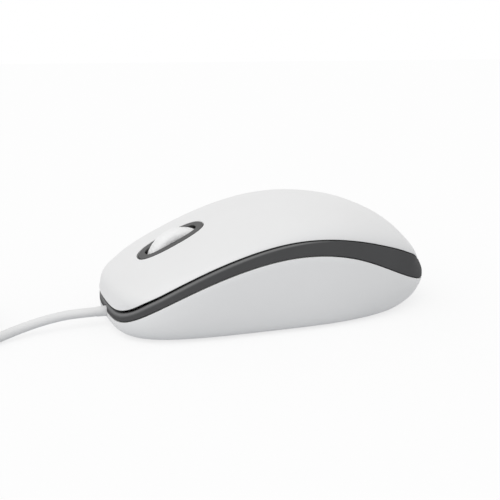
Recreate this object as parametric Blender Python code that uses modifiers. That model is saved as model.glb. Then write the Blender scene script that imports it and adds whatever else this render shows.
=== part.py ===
"""Corded optical mouse: domed top cover with two flexing buttons, a grey side band,
a white lower case, a scroll wheel that also clicks, and a coiled USB cord.

Metres. +Z is up, +Y is the cord end and +X is the user's right. The origin is on the
desk, under the middle of the mouse, and the feet stand at z = 0.
"""
from math import atan, atan2, cos, pi, sin

import bmesh
import bpy
import numpy as np
from mathutils import Matrix, Vector

# Housing form
LENGTH = 0.113
WIDTH = 0.062
BASE_LIFT = 0.0008
WALL = 0.0018
SEAM = 0.0003
SEAT = 0.0003
FRONT_SQUARENESS = 4.4
FRONT_BOW = 0.031
REAR_SQUARENESS = 2.2
END_TAPER = 0.02
WIDEST_SHARE = -0.45
SIDE_TUCK = 0.0044
FRONT_TUCK = 0.0043
REAR_TUCK = 0.0137
TUCK_POWER = 2.36
DOME_POWER = 2.93
DOME_POWER_CHANGE = 0.42
DOME_ROOT = 1.67
DOME_ROOT_CHANGE = -0.27
COVER_SKIRT = 0.0004

# Heights along the housing, from the rear end to the front end
STATIONS = [share * LENGTH / 2 for share in (-1.0, -0.7, -0.35, 0.0, 0.35, 0.7, 1.0)]
COVER_EDGE = (0.0142, 0.0217, 0.0278, 0.0298, 0.0264, 0.0187, 0.0083)
BAND_SILL = (0.0081, 0.0135, 0.0217, 0.0246, 0.0216, 0.0143, 0.0046)
CROWN = (0.0161, 0.0346, 0.0393, 0.0383, 0.0339, 0.0292, 0.0330)

# Mesh density of the housing
AROUND = 64
COVER_RINGS = (0.985, 0.95, 0.88, 0.77, 0.62, 0.43, 0.22)
CASE_RINGS = (0.0, 0.03, 0.12, 0.28, 0.52, 0.8, 1.0)
OVAL_SIDES = 40

# Side band
BAND_LIP = 0.0010
LIP_DEPTH = 0.0010
LIP_GAP = 0.00035
FRONT_GAP = 0.0009

# Buttons
HINGE_Y = -0.010
HINGE_Z = 0.033
BUTTON_TRAVEL = 0.0006
BOSS_RADIUS = 0.0022

# Scroll wheel, its trim ring and its carrier
WHEEL_Y = 0.0346
WHEEL_RADIUS = 0.012
WHEEL_WIDTH = 0.0066
WHEEL_RISE = 0.0026
TYRE_DEPTH = 0.0032
TYRE_CROWN = 0.0020
TYRE_CROWN_POWER = 3.2
HUB_RIM = 0.0012
HUB_WEB = 0.0016
HUB_BOSS_RADIUS = 0.0026
OPENING_LENGTH = 0.0242
OPENING_WIDTH = 0.0157
OPENING_SQUARENESS = 2.5
RING_RECESS = 0.0001
RING_DEPTH = 0.0044
FLANGE_DEPTH = 0.0028
FLANGE_THICK = 0.0012
FLANGE_REACH = 0.0035
WHEEL_GAP = 0.0007
LEG_RADIUS = 0.0015
LEG_BACK = 0.0045
AXLE_RADIUS = 0.0015
ARM_WIDTH = 0.0014
ARM_GAP = 0.0008
EYE_RADIUS = 0.0032
PIVOT_REACH = 0.018
PIVOT_Z = 0.0140
PIVOT_RADIUS = 0.0024
PIN_RADIUS = 0.0010
PIN_GAP = 0.00025
POST_WIDTH = 0.0024
POST_LENGTH = 0.0050
ENCODER_SLOTS = 12
ENCODER_RADIUS = 0.0058
SLOT_LENGTH = 0.0026
SLOT_WIDTH = 0.0016
WHEEL_PRESS = 0.0005
TAB_THICK = 0.0028

# Circuit board and what stands on it
BOARD_BOTTOM = 0.0074
BOARD_THICK = 0.0016
BOARD_WIDTH = 0.042
BOARD_NOSE = 0.0125
BOARD_REAR = -0.021
BOARD_CORNER = 0.003
BOARD_POST_RADIUS = 0.0020
REAR_POST_INSET = 0.005
FRONT_POST_INSET = 0.008
MOULD_CORNER = 0.0004
SWITCH_X = 0.018
SWITCH_INSET = 0.007
SWITCH_SIZE = (0.0058, 0.0128, 0.0065)
PLUNGER_SIZE = (0.0017, 0.0028, 0.0024)
PLUNGER_RISE = 0.0010
PLUNGER_FORWARD = 0.0025
PLUNGER_GAP = 0.0002
CLICK_X = -0.0096
CLICK_REACH = 0.008
CLICK_SIZE = 0.006
CLICK_HEIGHT = 0.0035
CLICK_RADIUS = 0.00175
CLICK_RISE = 0.0009
SENSOR_Y = -0.004
SENSOR_SIZE = (0.0090, 0.0120, 0.0021)
WINDOW_SIZE = (0.0064, 0.0100)
WINDOW_CORNER = 0.0025
LENS_SIZE = (0.0120, 0.0180)
LENS_THICK = 0.0016
LENS_CORNER = 0.002
LENS_EYE_RADIUS = 0.0026
LENS_EYE_ROUND = 0.0012
LED_RADIUS = 0.0015
LED_LENGTH = 0.0052
LED_RISE = 0.0026
LED_FLANGE = 0.0003
LED_FLANGE_THICK = 0.0009
CLIP_WALL = 0.0007
CLIP_HEIGHT = 0.0052
LAMP_SIZE = (0.0022, 0.0040, 0.0048)
LAMP_X = 0.0092
BEAD_RADIUS = 0.0010
BEAD_REACH = 0.0006
CONNECTOR_X = 0.0126
CONNECTOR_Y = 0.020
CONNECTOR_SIZE = (0.0080, 0.0042, 0.0046)
CAPACITOR_X = 0.0140
CAPACITOR_Y = 0.0060
CAPACITOR_RADIUS = 0.0025
CAPACITOR_HEIGHT = 0.0065
CAPACITOR_CRIMP = 0.0004

# Screw and feet
SCREW_Y = -0.027
SCREW_RADIUS = 0.0010
SCREW_HEAD_RADIUS = 0.0021
SCREW_HEAD = 0.0015
SCREW_LENGTH = 0.0100
SCREW_GAP = 0.0003
SCREW_TOWER = 0.0100
TOWER_RADIUS = 0.0033
FOOT_WIDTH = 0.030
FOOT_LENGTH = 0.0065
FOOT_SINK = 0.0005
FRONT_FOOT_INSET = 0.0155
REAR_FOOT_INSET = 0.0205

# Cord
CORD_RADIUS = 0.0015
CORD_Z = 0.0048
INLET_RADIUS = 0.00195
INLET_GAP = 0.00025
RELIEF_REACH = 0.0030
RELIEF_TIP_RADIUS = 0.0016
RELIEF_COLLAR_RADIUS = 0.0021
RELIEF_COLLAR = 0.0014
LEAD_RADIUS = 0.0010
CORD_LIFT = 0.00005
COIL_END_GAP = 0.0006
COIL_X = 0.004
COIL_AWAY = 0.0655
COIL_RADIUS = 0.0180
COIL_TURNS = 15
COIL_LAYERS = 4
COIL_GAP = 0.0005
LOOP_POINTS = 24
# Bends of the free run, as shares of its way along, across and down to the coil
RUN_BENDS = (
    (0.164, 0.0, 0.06), (0.293, 0.05, 0.34), (0.421, 0.19, 0.68), (0.55, 0.44, 0.92), (0.678, 0.73, 1.0),
    (0.823, 0.92, 1.0),
)
TIE_WIDTH = 0.006
TIE_THICK = 0.0008
TIE_GAP = 0.0004
TAIL_LENGTH = 0.040
TAIL_SHIFT = 0.006

# Plug on the cord's far end
PLUG_WIDTH = 0.0160
PLUG_LENGTH = 0.0200
PLUG_THICK = 0.0084
PLUG_BOOT = 0.0090
PLUG_BOOT_RADIUS = 0.0026
PLUG_CORNER = 0.0030
SHELL_WIDTH = 0.0120
SHELL_THICK = 0.0045
SHELL_LENGTH = 0.0120
SHELL_SEAT = 0.0040
SHELL_WALL = 0.0004
SHELL_GAP = 0.0002
TONGUE_THICK = 0.0018

FINISHES = {
    "white_shell": ((0.80, 0.80, 0.80), 0.38, 0.0),
    "grey_band": ((0.075, 0.075, 0.076), 0.45, 0.0),
    "grey_trim": ((0.10, 0.10, 0.10), 0.45, 0.0),
    "white_rubber": ((0.78, 0.78, 0.77), 0.6, 0.0),
    "white_cord": ((0.76, 0.76, 0.76), 0.55, 0.0),
    "black_moulding": ((0.02, 0.02, 0.02), 0.5, 0.0),
    "red_moulding": ((0.45, 0.03, 0.02), 0.45, 0.0),
    "clear_moulding": ((0.80, 0.84, 0.86), 0.08, 0.0),
    "green_laminate": ((0.02, 0.16, 0.06), 0.5, 0.0),
    "slick_pad": ((0.22, 0.22, 0.22), 0.35, 0.0),
    "steel": ((0.60, 0.60, 0.62), 0.28, 1.0),
}


def new_collection(name):
    made = bpy.data.collections.new(name)
    bpy.context.scene.collection.children.link(made)
    return made


def paint(obj, finish):
    colour, roughness, metallic = FINISHES[finish]
    material = bpy.data.materials.new(f"{obj.name}_{finish}")
    material.use_nodes = True
    shader = material.node_tree.nodes["Principled BSDF"]
    shader.inputs["Base Color"].default_value = (*colour, 1.0)
    shader.inputs["Roughness"].default_value = roughness
    shader.inputs["Metallic"].default_value = metallic
    obj.data.materials.append(material)


def place(name, data, finish=None):
    """Adds an object as a part, or as a cutter where it has no finish."""
    obj = bpy.data.objects.new(name, data)
    if finish:
        PARTS.objects.link(obj)
        paint(obj, finish)
    else:
        CUTTERS.objects.link(obj)
        obj.hide_render = True
        obj.display_type = "WIRE"
    return obj


def mesh_from(bm, name):
    mesh = bpy.data.meshes.new(name)
    bm.to_mesh(mesh)
    bm.free()
    mesh.shade_smooth()
    mesh.set_sharp_from_angle(angle=pi / 6)
    return mesh


def turn_to(axis):
    return Vector((0, 0, 1)).rotation_difference(Vector(axis))


def block(name, low, high, finish=None, corner=0.0, steps=3):
    """A box between two corners, with its upright edges rounded."""
    low, high = Vector(low), Vector(high)
    size = high - low
    bm = bmesh.new()
    bmesh.ops.create_cube(bm, size=1.0)
    bmesh.ops.scale(bm, vec=size, verts=bm.verts)
    bmesh.ops.translate(bm, vec=(low + high) / 2, verts=bm.verts)
    if corner:
        upright = [e for e in bm.edges if abs(e.verts[0].co.z - e.verts[1].co.z) > size.z / 2]
        bmesh.ops.bevel(bm, geom=upright, offset=corner, segments=steps, profile=0.5, affect="EDGES")
    return place(name, mesh_from(bm, name), finish)


def centred_block(name, centre, size, low, high, finish=None, corner=0.0, steps=3):
    """A box centred on a place in plan, from one height to another."""
    x, y = centre
    w, d = size[0] / 2, size[1] / 2
    return block(name, (x - w, y - d, low), (x + w, y + d, high), finish, corner, steps)


def rod(name, start, end, radius, finish=None, sides=20):
    start, end = Vector(start), Vector(end)
    where = Matrix.Translation((start + end) / 2) @ turn_to(end - start).to_matrix().to_4x4()
    bm = bmesh.new()
    bmesh.ops.create_cone(
        bm, cap_ends=True, segments=sides, radius1=radius, radius2=radius,
        depth=(end - start).length, matrix=where,
    )
    return place(name, mesh_from(bm, name), finish)


def turned(name, profile, base, axis, finish=None, sides=24, closed=False):
    """A profile of (radius, height), top to bottom, turned about an axis through the base."""
    points = [(radius, 0.0, height) for radius, height in profile]
    edges = [(i, i + 1) for i in range(len(points) - 1)]
    if closed:
        edges.append((len(points) - 1, 0))
    mesh = bpy.data.meshes.new(name)
    mesh.from_pydata(points, edges, [])
    obj = place(name, mesh, finish)
    obj.location = base
    obj.rotation_mode = "QUATERNION"
    obj.rotation_quaternion = turn_to(axis)
    screw = obj.modifiers.new("Turn", "SCREW")
    screw.steps = sides
    screw.render_steps = sides
    screw.use_merge_vertices = True
    screw.merge_threshold = 0.00001
    return obj


def combine(obj, other, how):
    boolean = obj.modifiers.new(f"{how.title()} {other.name}", "BOOLEAN")
    boolean.operation = how
    boolean.object = other
    boolean.solver = "EXACT"


def cut(obj, *others):
    for other in others:
        combine(obj, other, "DIFFERENCE")


def join(obj, *others):
    for other in others:
        combine(obj, other, "UNION")


def move_origin(obj, point):
    """Puts an object's origin on its joint's axis without moving its shape."""
    here = obj.matrix_basis.inverted() @ Vector(point)
    obj.data.transform(Matrix.Translation(-here))
    obj.location = point


def link_plate(name, near, near_radius, far, far_radius, x_low, x_high, finish=None):
    """A flat link in the YZ plane: the hull of a round eye at each end."""
    bm = bmesh.new()
    for x in (x_low, x_high):
        for centre, radius in ((near, near_radius), (far, far_radius)):
            for i in range(16):
                turn = 2 * pi * i / 16
                bm.verts.new((x, centre[0] + radius * cos(turn), centre[1] + radius * sin(turn)))
    made = bmesh.ops.convex_hull(bm, input=bm.verts)
    bmesh.ops.delete(bm, geom=made["geom_interior"], context="VERTS")
    bmesh.ops.dissolve_limit(bm, angle_limit=0.01, verts=bm.verts, edges=bm.edges)
    return place(name, mesh_from(bm, name), finish)


# Housing surfaces


def line_through(heights):
    """A cubic spline over the stations, with one cubic over each end pair of spans."""
    s, v = np.array(STATIONS), np.array(heights)
    h = np.diff(s)
    n = len(s)
    a, b = np.zeros((n, n)), np.zeros(n)
    for i in range(1, n - 1):
        a[i, i - 1:i + 2] = h[i - 1], 2 * (h[i - 1] + h[i]), h[i]
        b[i] = 6 * ((v[i + 1] - v[i]) / h[i] - (v[i] - v[i - 1]) / h[i - 1])
    a[0, :3] = h[1], -h[0] - h[1], h[0]
    a[-1, -3:] = h[-1], -h[-2] - h[-1], h[-2]
    m = np.linalg.solve(a, b)

    def height(y):
        i = np.clip(np.searchsorted(s, y) - 1, 0, n - 2)
        p, q = (s[i + 1] - y) / h[i], (y - s[i]) / h[i]
        bend = (p**3 - p) * m[i] + (q**3 - q) * m[i + 1]
        return p * v[i] + q * v[i + 1] + bend * h[i]**2 / 6

    return height


def plan_outline(count):
    """Points round the housing's plan and their outward normals, from the rear, by length."""
    t = np.linspace(-pi / 2, 3 * pi / 2, 4001)
    power = 2 / np.where(np.sin(t) > 0, FRONT_SQUARENESS, REAR_SQUARENESS)
    y = np.sign(np.sin(t)) * np.abs(np.sin(t))**power
    x = np.sign(np.cos(t)) * np.abs(np.cos(t))**power * (1 - END_TAPER * (y - WIDEST_SHARE)**2)
    y = np.where(y > 0, y * (1 - FRONT_BOW * x**2), y)
    x, y = x * WIDTH / 2, y * LENGTH / 2
    run = np.concatenate([[0], np.cumsum(np.hypot(np.diff(x), np.diff(y)))])
    at = np.linspace(0, run[-1], count, endpoint=False)
    x, y = np.interp(at, run, x), np.interp(at, run, y)
    dx, dy = np.roll(x, -1) - np.roll(x, 1), np.roll(y, -1) - np.roll(y, 1)
    length = np.hypot(dx, dy)
    return x, y, dy / length, -dx / length


def dome_lift(share, r):
    """How far the cover has risen from its edge to the crown, at a share of the way out."""
    power, root = DOME_POWER + DOME_POWER_CHANGE * share, DOME_ROOT + DOME_ROOT_CHANGE * share
    return (1 - r**power)**(1 / root)


def crown_height(y):
    """The height of the cover's middle line."""
    end = 1.0 if y > 0 else -1.0
    edge = EDGE_LINE(end * LENGTH / 2)
    return edge + (CROWN_LINE(y) - edge) * dome_lift(end, abs(y) / (LENGTH / 2))


def ring_points(x, y, z):
    return np.stack([x, y, z + 0 * x], axis=1)


def loft(bm, rings, closed=False):
    """Skins rings of points, lowest first, and returns their vertices."""
    rows = [[bm.verts.new(p) for p in ring] for ring in rings]
    pairs = list(zip(rows, rows[1:]))
    if closed:
        pairs.append((rows[-1], rows[0]))
    for low, high in pairs:
        for i in range(len(low)):
            k = (i + 1) % len(low)
            bm.faces.new((low[i], low[k], high[k], high[i]))
    return rows


def dome_rings(depth=0.0):
    """Rings of the cover's outer face, edge first, or of the face at a depth below it."""
    x, y, nx, ny = PLAN
    edge, share = EDGE_LINE(y), y / (LENGTH / 2)
    x, y = x - nx * depth, y - ny * depth
    rings = [ring_points(x, y, edge)]
    if not depth:
        rings.append(ring_points(x, y, edge + COVER_SKIRT))
    for r in COVER_RINGS:
        rise = (CROWN_LINE(r * y) - depth - edge) * dome_lift(share, r)
        rings.append(ring_points(r * x, r * y, edge + rise))
    return rings


def dome_top(bm, row, depth):
    top = bm.verts.new((0, 0, float(CROWN_LINE(0.0)) - depth))
    for i, v in enumerate(row):
        bm.faces.new((v, row[(i + 1) % AROUND], top))


def cover_layer(name, depth, bottom, finish=None):
    """The closed layer of the cover from one depth below its outer face to a lower one."""
    bm = bmesh.new()
    rows = loft(bm, dome_rings(bottom)[::-1] + dome_rings(depth))
    dome_top(bm, rows[0], bottom)
    dome_top(bm, rows[-1], depth)
    bmesh.ops.recalc_face_normals(bm, faces=bm.faces)
    return place(name, mesh_from(bm, name), finish)


def cover_core(depth):
    """A solid that fills the cover to a depth below its outer face, to trim posts and bosses."""
    rings = dome_rings(depth)
    foot = rings[0].copy()
    foot[:, 2] = -LENGTH
    bm = bmesh.new()
    rows = loft(bm, [foot, *rings])
    bm.faces.new(rows[0][::-1])
    dome_top(bm, rows[-1], depth)
    return place("cover_core", mesh_from(bm, "cover_core"))


def trimmed(obj, core):
    combine(obj, core, "INTERSECT")
    return obj


def oval(name, length, width, thickness):
    """A full-cornered oval bar, square to the cover where the wheel stands out of it."""
    bm = bmesh.new()
    bmesh.ops.create_cone(bm, cap_ends=True, segments=OVAL_SIDES, radius1=0.5, radius2=0.5, depth=1.0)
    bmesh.ops.rotate(bm, matrix=Matrix.Rotation(pi / OVAL_SIDES, 3, "Z"), verts=bm.verts)
    for v in bm.verts:
        turn = atan2(v.co.y, v.co.x)
        fullness = abs(cos(turn))**OPENING_SQUARENESS + abs(sin(turn))**OPENING_SQUARENESS
        v.co.xy *= fullness**(-1 / OPENING_SQUARENESS)
    bmesh.ops.scale(bm, vec=(width, length, thickness), verts=bm.verts)
    where = Matrix.Translation(WHEEL_TOP) @ Matrix.Rotation(-WHEEL_TILT, 4, "X")
    bmesh.ops.transform(bm, matrix=where, verts=bm.verts)
    return place(name, mesh_from(bm, name))


# Housing


def build_case(inlet):
    """The lower case with its towers, posts, recesses and holes."""
    x, y, nx, ny = PLAN
    tuck = SIDE_TUCK * (1 - ny**2) + np.where(ny > 0, FRONT_TUCK, REAR_TUCK) * ny**2
    sill = SILL_LINE(y)
    rings = []
    for t in CASE_RINGS:
        inset = tuck * (1 - (1 - (1 - t)**TUCK_POWER)**(1 / TUCK_POWER))
        rings.append(ring_points(x - nx * inset, y - ny * inset, BASE_LIFT + (sill - BASE_LIFT) * t))
    bm = bmesh.new()
    rows = loft(bm, rings)
    bm.faces.new(rows[0][::-1])
    case = place("bottom_case", mesh_from(bm, "bottom_case"), "white_shell")
    wall = case.modifiers.new("Wall", "SOLIDIFY")
    wall.thickness = WALL
    wall.offset = -1.0
    wall.use_even_offset = True
    root = BASE_LIFT + WALL / 2
    for i, (px, py) in enumerate(BOARD_POSTS):
        join(case, rod(f"board_post_{i}", (px, py, root), (px, py, BOARD_BOTTOM - SEAT), BOARD_POST_RADIUS))
    for side in (-1, 1):
        px = side * POST_X
        post = centred_block(
            f"carrier_post_{side}", (px, PIVOT_Y), (POST_WIDTH, POST_LENGTH),
            root, PIVOT_Z + PIVOT_RADIUS, corner=MOULD_CORNER, steps=1,
        )
        join(case, post)
    tower = rod("screw_tower", (0, SCREW_Y, root), (0, SCREW_Y, SCREW_TOWER), TOWER_RADIUS)
    join(case, tower)
    head_room = SCREW_HEAD_RADIUS + SCREW_GAP
    cut(
        case,
        rod("screw_head_hole", (0, SCREW_Y, -WALL), (0, SCREW_Y, SCREW_SHELF), head_room),
        rod("screw_shank_hole", (0, SCREW_Y, 0), (0, SCREW_Y, SCREW_TOWER + WALL), SCREW_RADIUS + SCREW_GAP),
        rod("pin_bore", (-PIN_END, PIVOT_Y, PIVOT_Z), (PIN_END, PIVOT_Y, PIVOT_Z), PIN_RADIUS + PIN_GAP),
        centred_block("optic_window", (0, SENSOR_Y), WINDOW_SIZE, 0, 2 * WALL, corner=WINDOW_CORNER),
        inlet,
    )
    for name, foot_y in FEET.items():
        size = (FOOT_WIDTH + 2 * SEAM, FOOT_LENGTH + 2 * SEAM)
        top = BASE_LIFT + FOOT_SINK
        cut(case, centred_block(f"{name}_recess", (0, foot_y), size, -WALL, top, corner=FOOT_LENGTH / 2))
    return case


def build_band(inlet):
    """The grey ring between case and cover, with a lip that locates inside the case."""
    x, y, nx, ny = PLAN
    sill, edge = SILL_LINE(y), EDGE_LINE(y)
    opening = np.clip((y - HINGE_Y) / (LENGTH / 2 - HINGE_Y), 0, 1)
    top = edge - SEAM - (FRONT_GAP - SEAM) * opening
    low = sill + SEAM
    shelf, inner = WALL + LIP_GAP, WALL + LIP_GAP + BAND_LIP
    foot, ledge = sill - LIP_DEPTH, low + LIP_DEPTH
    section = [
        (0.0, low), (0.0, top), (WALL, top), (WALL, ledge),
        (inner, ledge), (inner, foot), (shelf, foot), (shelf, low),
    ]
    bm = bmesh.new()
    loft(bm, [ring_points(x - nx * inset, y - ny * inset, z) for inset, z in section], closed=True)
    band = place("side_band", mesh_from(bm, "side_band"), "grey_band")
    cut(band, inlet)
    return band


def build_cover(core):
    """The palm cover with its screw post, and the two buttons with their switch bosses."""
    far = LENGTH
    gap = SEAM / 2
    opening = oval("wheel_opening", OPENING_LENGTH, OPENING_WIDTH, 2 * WHEEL_RADIUS)
    palm = cover_layer("palm_cover", 0.0, WALL, "white_shell")
    combine(palm, block("palm_region", (-far, -far, -far), (far, HINGE_Y - gap, far)), "INTERSECT")
    post = rod("palm_post", (0, SCREW_Y, SCREW_TOWER + SEAT), (0, SCREW_Y, far), TOWER_RADIUS)
    join(palm, trimmed(post, core))
    pilot_top = SCREW_SHELF + SCREW_LENGTH + SCREW_RADIUS
    cut(palm, rod("screw_pilot", (0, SCREW_Y, 0), (0, SCREW_Y, pilot_top), SCREW_RADIUS + SCREW_GAP))
    for side, name in ((-1, "left"), (1, "right")):
        button = cover_layer(f"{name}_button", 0.0, WALL, "white_shell")
        near, wide = side * gap, side * far
        region = block(
            f"{name}_region", (min(near, wide), HINGE_Y + gap, -far), (max(near, wide), far, far),
        )
        combine(button, region, "INTERSECT")
        cut(button, opening)
        boss_x = side * SWITCH_X
        boss_low = (boss_x, PLUNGER_Y, PLUNGER_TOP + SEAT)
        boss = rod(f"{name}_boss", boss_low, (boss_x, PLUNGER_Y, far), BOSS_RADIUS)
        join(button, trimmed(boss, core))
        move_origin(button, (0, HINGE_Y, HINGE_Z))


def build_trim_ring():
    """The grey oval round the wheel, with a flange under the cover and legs on the board."""
    ring = cover_layer("wheel_surround", RING_RECESS, RING_DEPTH, "grey_trim")
    reach = 2 * WHEEL_RADIUS
    inner = oval("ring_body", OPENING_LENGTH - 2 * SEAM, OPENING_WIDTH - 2 * SEAM, reach)
    combine(ring, inner, "INTERSECT")
    flange = cover_layer("ring_flange", FLANGE_DEPTH, FLANGE_DEPTH + FLANGE_THICK)
    outer = oval("flange_body", OPENING_LENGTH + 2 * FLANGE_REACH, OPENING_WIDTH + 2 * FLANGE_REACH, reach)
    combine(flange, outer, "INTERSECT")
    join(ring, flange)
    leg_core = cover_core(FLANGE_DEPTH + FLANGE_THICK / 2)
    for i, (px, py) in enumerate(RING_LEGS):
        leg = rod(f"ring_leg_{i}", (px, py, BOARD_TOP + SEAT), (px, py, LENGTH), LEG_RADIUS)
        join(ring, trimmed(leg, leg_core))
    room = WHEEL_WIDTH / 2 + WHEEL_GAP
    start, end = (-room, AXLE_Y, AXLE_Z), (room, AXLE_Y, AXLE_Z)
    wheel_room = rod("wheel_room", start, end, WHEEL_RADIUS + WHEEL_GAP, sides=48)
    cut(ring, wheel_room)


# Scroll wheel


def build_wheel():
    """The rubber tyre and the slotted hub, both turned about the axle."""
    half = WHEEL_WIDTH / 2
    bed = WHEEL_RADIUS - TYRE_DEPTH
    tyre = [(bed, -half), (bed, half)]
    for t in np.linspace(1, -1, 9):
        tyre.append((WHEEL_RADIUS - TYRE_CROWN * abs(t)**TYRE_CROWN_POWER, half * t))
    axle = (0, AXLE_Y, AXLE_Z)
    turned("wheel_tyre", tyre, axle, (1, 0, 0), "white_rubber", sides=40, closed=True)
    rim = bed - SEAM
    rim_inner = rim - HUB_RIM
    web = HUB_WEB / 2
    boss = HUB_BOSS_RADIUS
    reach = ARM_X + ARM_WIDTH
    hub = [
        (0, reach), (AXLE_RADIUS, reach), (AXLE_RADIUS, half), (boss, half), (boss, web), (rim_inner, web),
        (rim_inner, half), (rim, half), (rim, -half), (rim_inner, -half), (rim_inner, -web), (boss, -web),
        (boss, -half), (AXLE_RADIUS, -half), (AXLE_RADIUS, -reach), (0, -reach),
    ]
    wheel = turned("wheel_hub", hub, axle, (1, 0, 0), "white_rubber", sides=24)
    bm = bmesh.new()
    for i in range(ENCODER_SLOTS):
        made = bmesh.ops.create_cube(bm, size=1.0)["verts"]
        bmesh.ops.scale(bm, vec=(2 * HUB_WEB, SLOT_LENGTH, SLOT_WIDTH), verts=made)
        bmesh.ops.translate(bm, vec=(0, ENCODER_RADIUS, 0), verts=made)
        turn = Matrix.Rotation(2 * pi * i / ENCODER_SLOTS, 3, "X")
        bmesh.ops.rotate(bm, cent=(0, 0, 0), matrix=turn, verts=made)
    bmesh.ops.translate(bm, vec=axle, verts=bm.verts)
    cut(wheel, place("encoder_slots", mesh_from(bm, "encoder_slots")))


def build_carrier():
    """The fork that carries the wheel on a rear pivot pin and presses the click switch."""
    pivot, axle = (PIVOT_Y, PIVOT_Z), (AXLE_Y, AXLE_Z)
    tube_end = POST_X - POST_WIDTH / 2 - SEAM
    start, end = (-tube_end, *pivot), (tube_end, *pivot)
    carrier = rod("wheel_carrier", start, end, PIVOT_RADIUS, "black_moulding")
    for side in (-1, 1):
        inner, outer = side * ARM_X, side * (ARM_X + ARM_WIDTH)
        x_low, x_high = min(inner, outer), max(inner, outer)
        arm = link_plate(f"fork_arm_{side}", pivot, PIVOT_RADIUS * 0.96, axle, EYE_RADIUS, x_low, x_high)
        join(carrier, arm)
    tab_low = CLICK_TOP + SEAT
    tab_size = (abs(CLICK_X) + CLICK_RADIUS - ARM_X - ARM_WIDTH / 2, TAB_THICK)
    tab_x = -(ARM_X + ARM_WIDTH / 2) - tab_size[0] / 2
    join(carrier, centred_block("click_tab", (tab_x, CLICK_Y), tab_size, tab_low, tab_low + TAB_THICK))
    cut(
        carrier,
        rod("carrier_bore", (-WIDTH, *pivot), (WIDTH, *pivot), PIN_RADIUS + PIN_GAP),
        rod("axle_bore", (-WIDTH, *axle), (WIDTH, *axle), AXLE_RADIUS + PIN_GAP),
    )
    move_origin(carrier, (0, *pivot))
    reach = PIN_END - SEAM
    rod("carrier_pin", (-reach, *pivot), (reach, *pivot), PIN_RADIUS, "steel", sides=16)


# Electronics


def build_board():
    middle, span = (BOARD_FRONT + BOARD_REAR) / 2, BOARD_FRONT - BOARD_REAR
    board = centred_block(
        "circuit_board", (0, middle), (BOARD_WIDTH, span), BOARD_BOTTOM, BOARD_TOP,
        "green_laminate", BOARD_CORNER,
    )
    slack = 2 * WHEEL_GAP
    chord = 2 * (WHEEL_RADIUS**2 - (AXLE_Z - BOARD_TOP)**2)**0.5
    low, high = BOARD_BOTTOM - WALL, BOARD_TOP + WALL
    slots = [((0, AXLE_Y), (WHEEL_WIDTH + slack, chord + 2 * slack)), ((0, SENSOR_Y), WINDOW_SIZE)]
    slots += [((side * POST_X, PIVOT_Y), (POST_WIDTH + slack, POST_LENGTH + slack)) for side in (-1, 1)]
    for i, (centre, size) in enumerate(slots):
        cut(board, centred_block(f"board_slot_{i}", centre, size, low, high))


def build_button_switch(side, name):
    """A snap switch case on the board with its plunger in a pocket on top."""
    x = side * SWITCH_X
    low = BOARD_TOP + SEAT
    case = centred_block(
        f"{name}_switch_case", (x, SWITCH_Y), SWITCH_SIZE, low, low + SWITCH_SIZE[2], "black_moulding",
        MOULD_CORNER, 1,
    )
    w, d, h = PLUNGER_SIZE
    bottom = PLUNGER_TOP - h
    pocket = (w + 2 * PLUNGER_GAP, d + 2 * PLUNGER_GAP)
    floor = bottom - BUTTON_TRAVEL - PLUNGER_GAP
    cut(case, centred_block(f"{name}_plunger_pocket", (x, PLUNGER_Y), pocket, floor, PLUNGER_TOP))
    centred_block(
        f"{name}_switch_plunger", (x, PLUNGER_Y), (w, d), bottom, PLUNGER_TOP,
        "red_moulding", MOULD_CORNER, 1,
    )


def build_click_switch():
    """The small push switch under the wheel carrier."""
    low = BOARD_TOP + SEAT
    top = low + CLICK_HEIGHT
    size = (CLICK_SIZE, CLICK_SIZE)
    case = centred_block(
        "click_switch_case", (CLICK_X, CLICK_Y), size, low, top, "black_moulding", MOULD_CORNER, 1,
    )
    bottom = top - CLICK_HEIGHT / 2
    where = (CLICK_X, CLICK_Y, bottom - WHEEL_PRESS)
    cut(case, rod("click_pocket", where, (CLICK_X, CLICK_Y, top + WALL), CLICK_RADIUS + PLUNGER_GAP))
    start, end = (CLICK_X, CLICK_Y, bottom), (CLICK_X, CLICK_Y, CLICK_TOP)
    rod("click_switch_plunger", start, end, CLICK_RADIUS, "red_moulding", sides=16)


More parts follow.
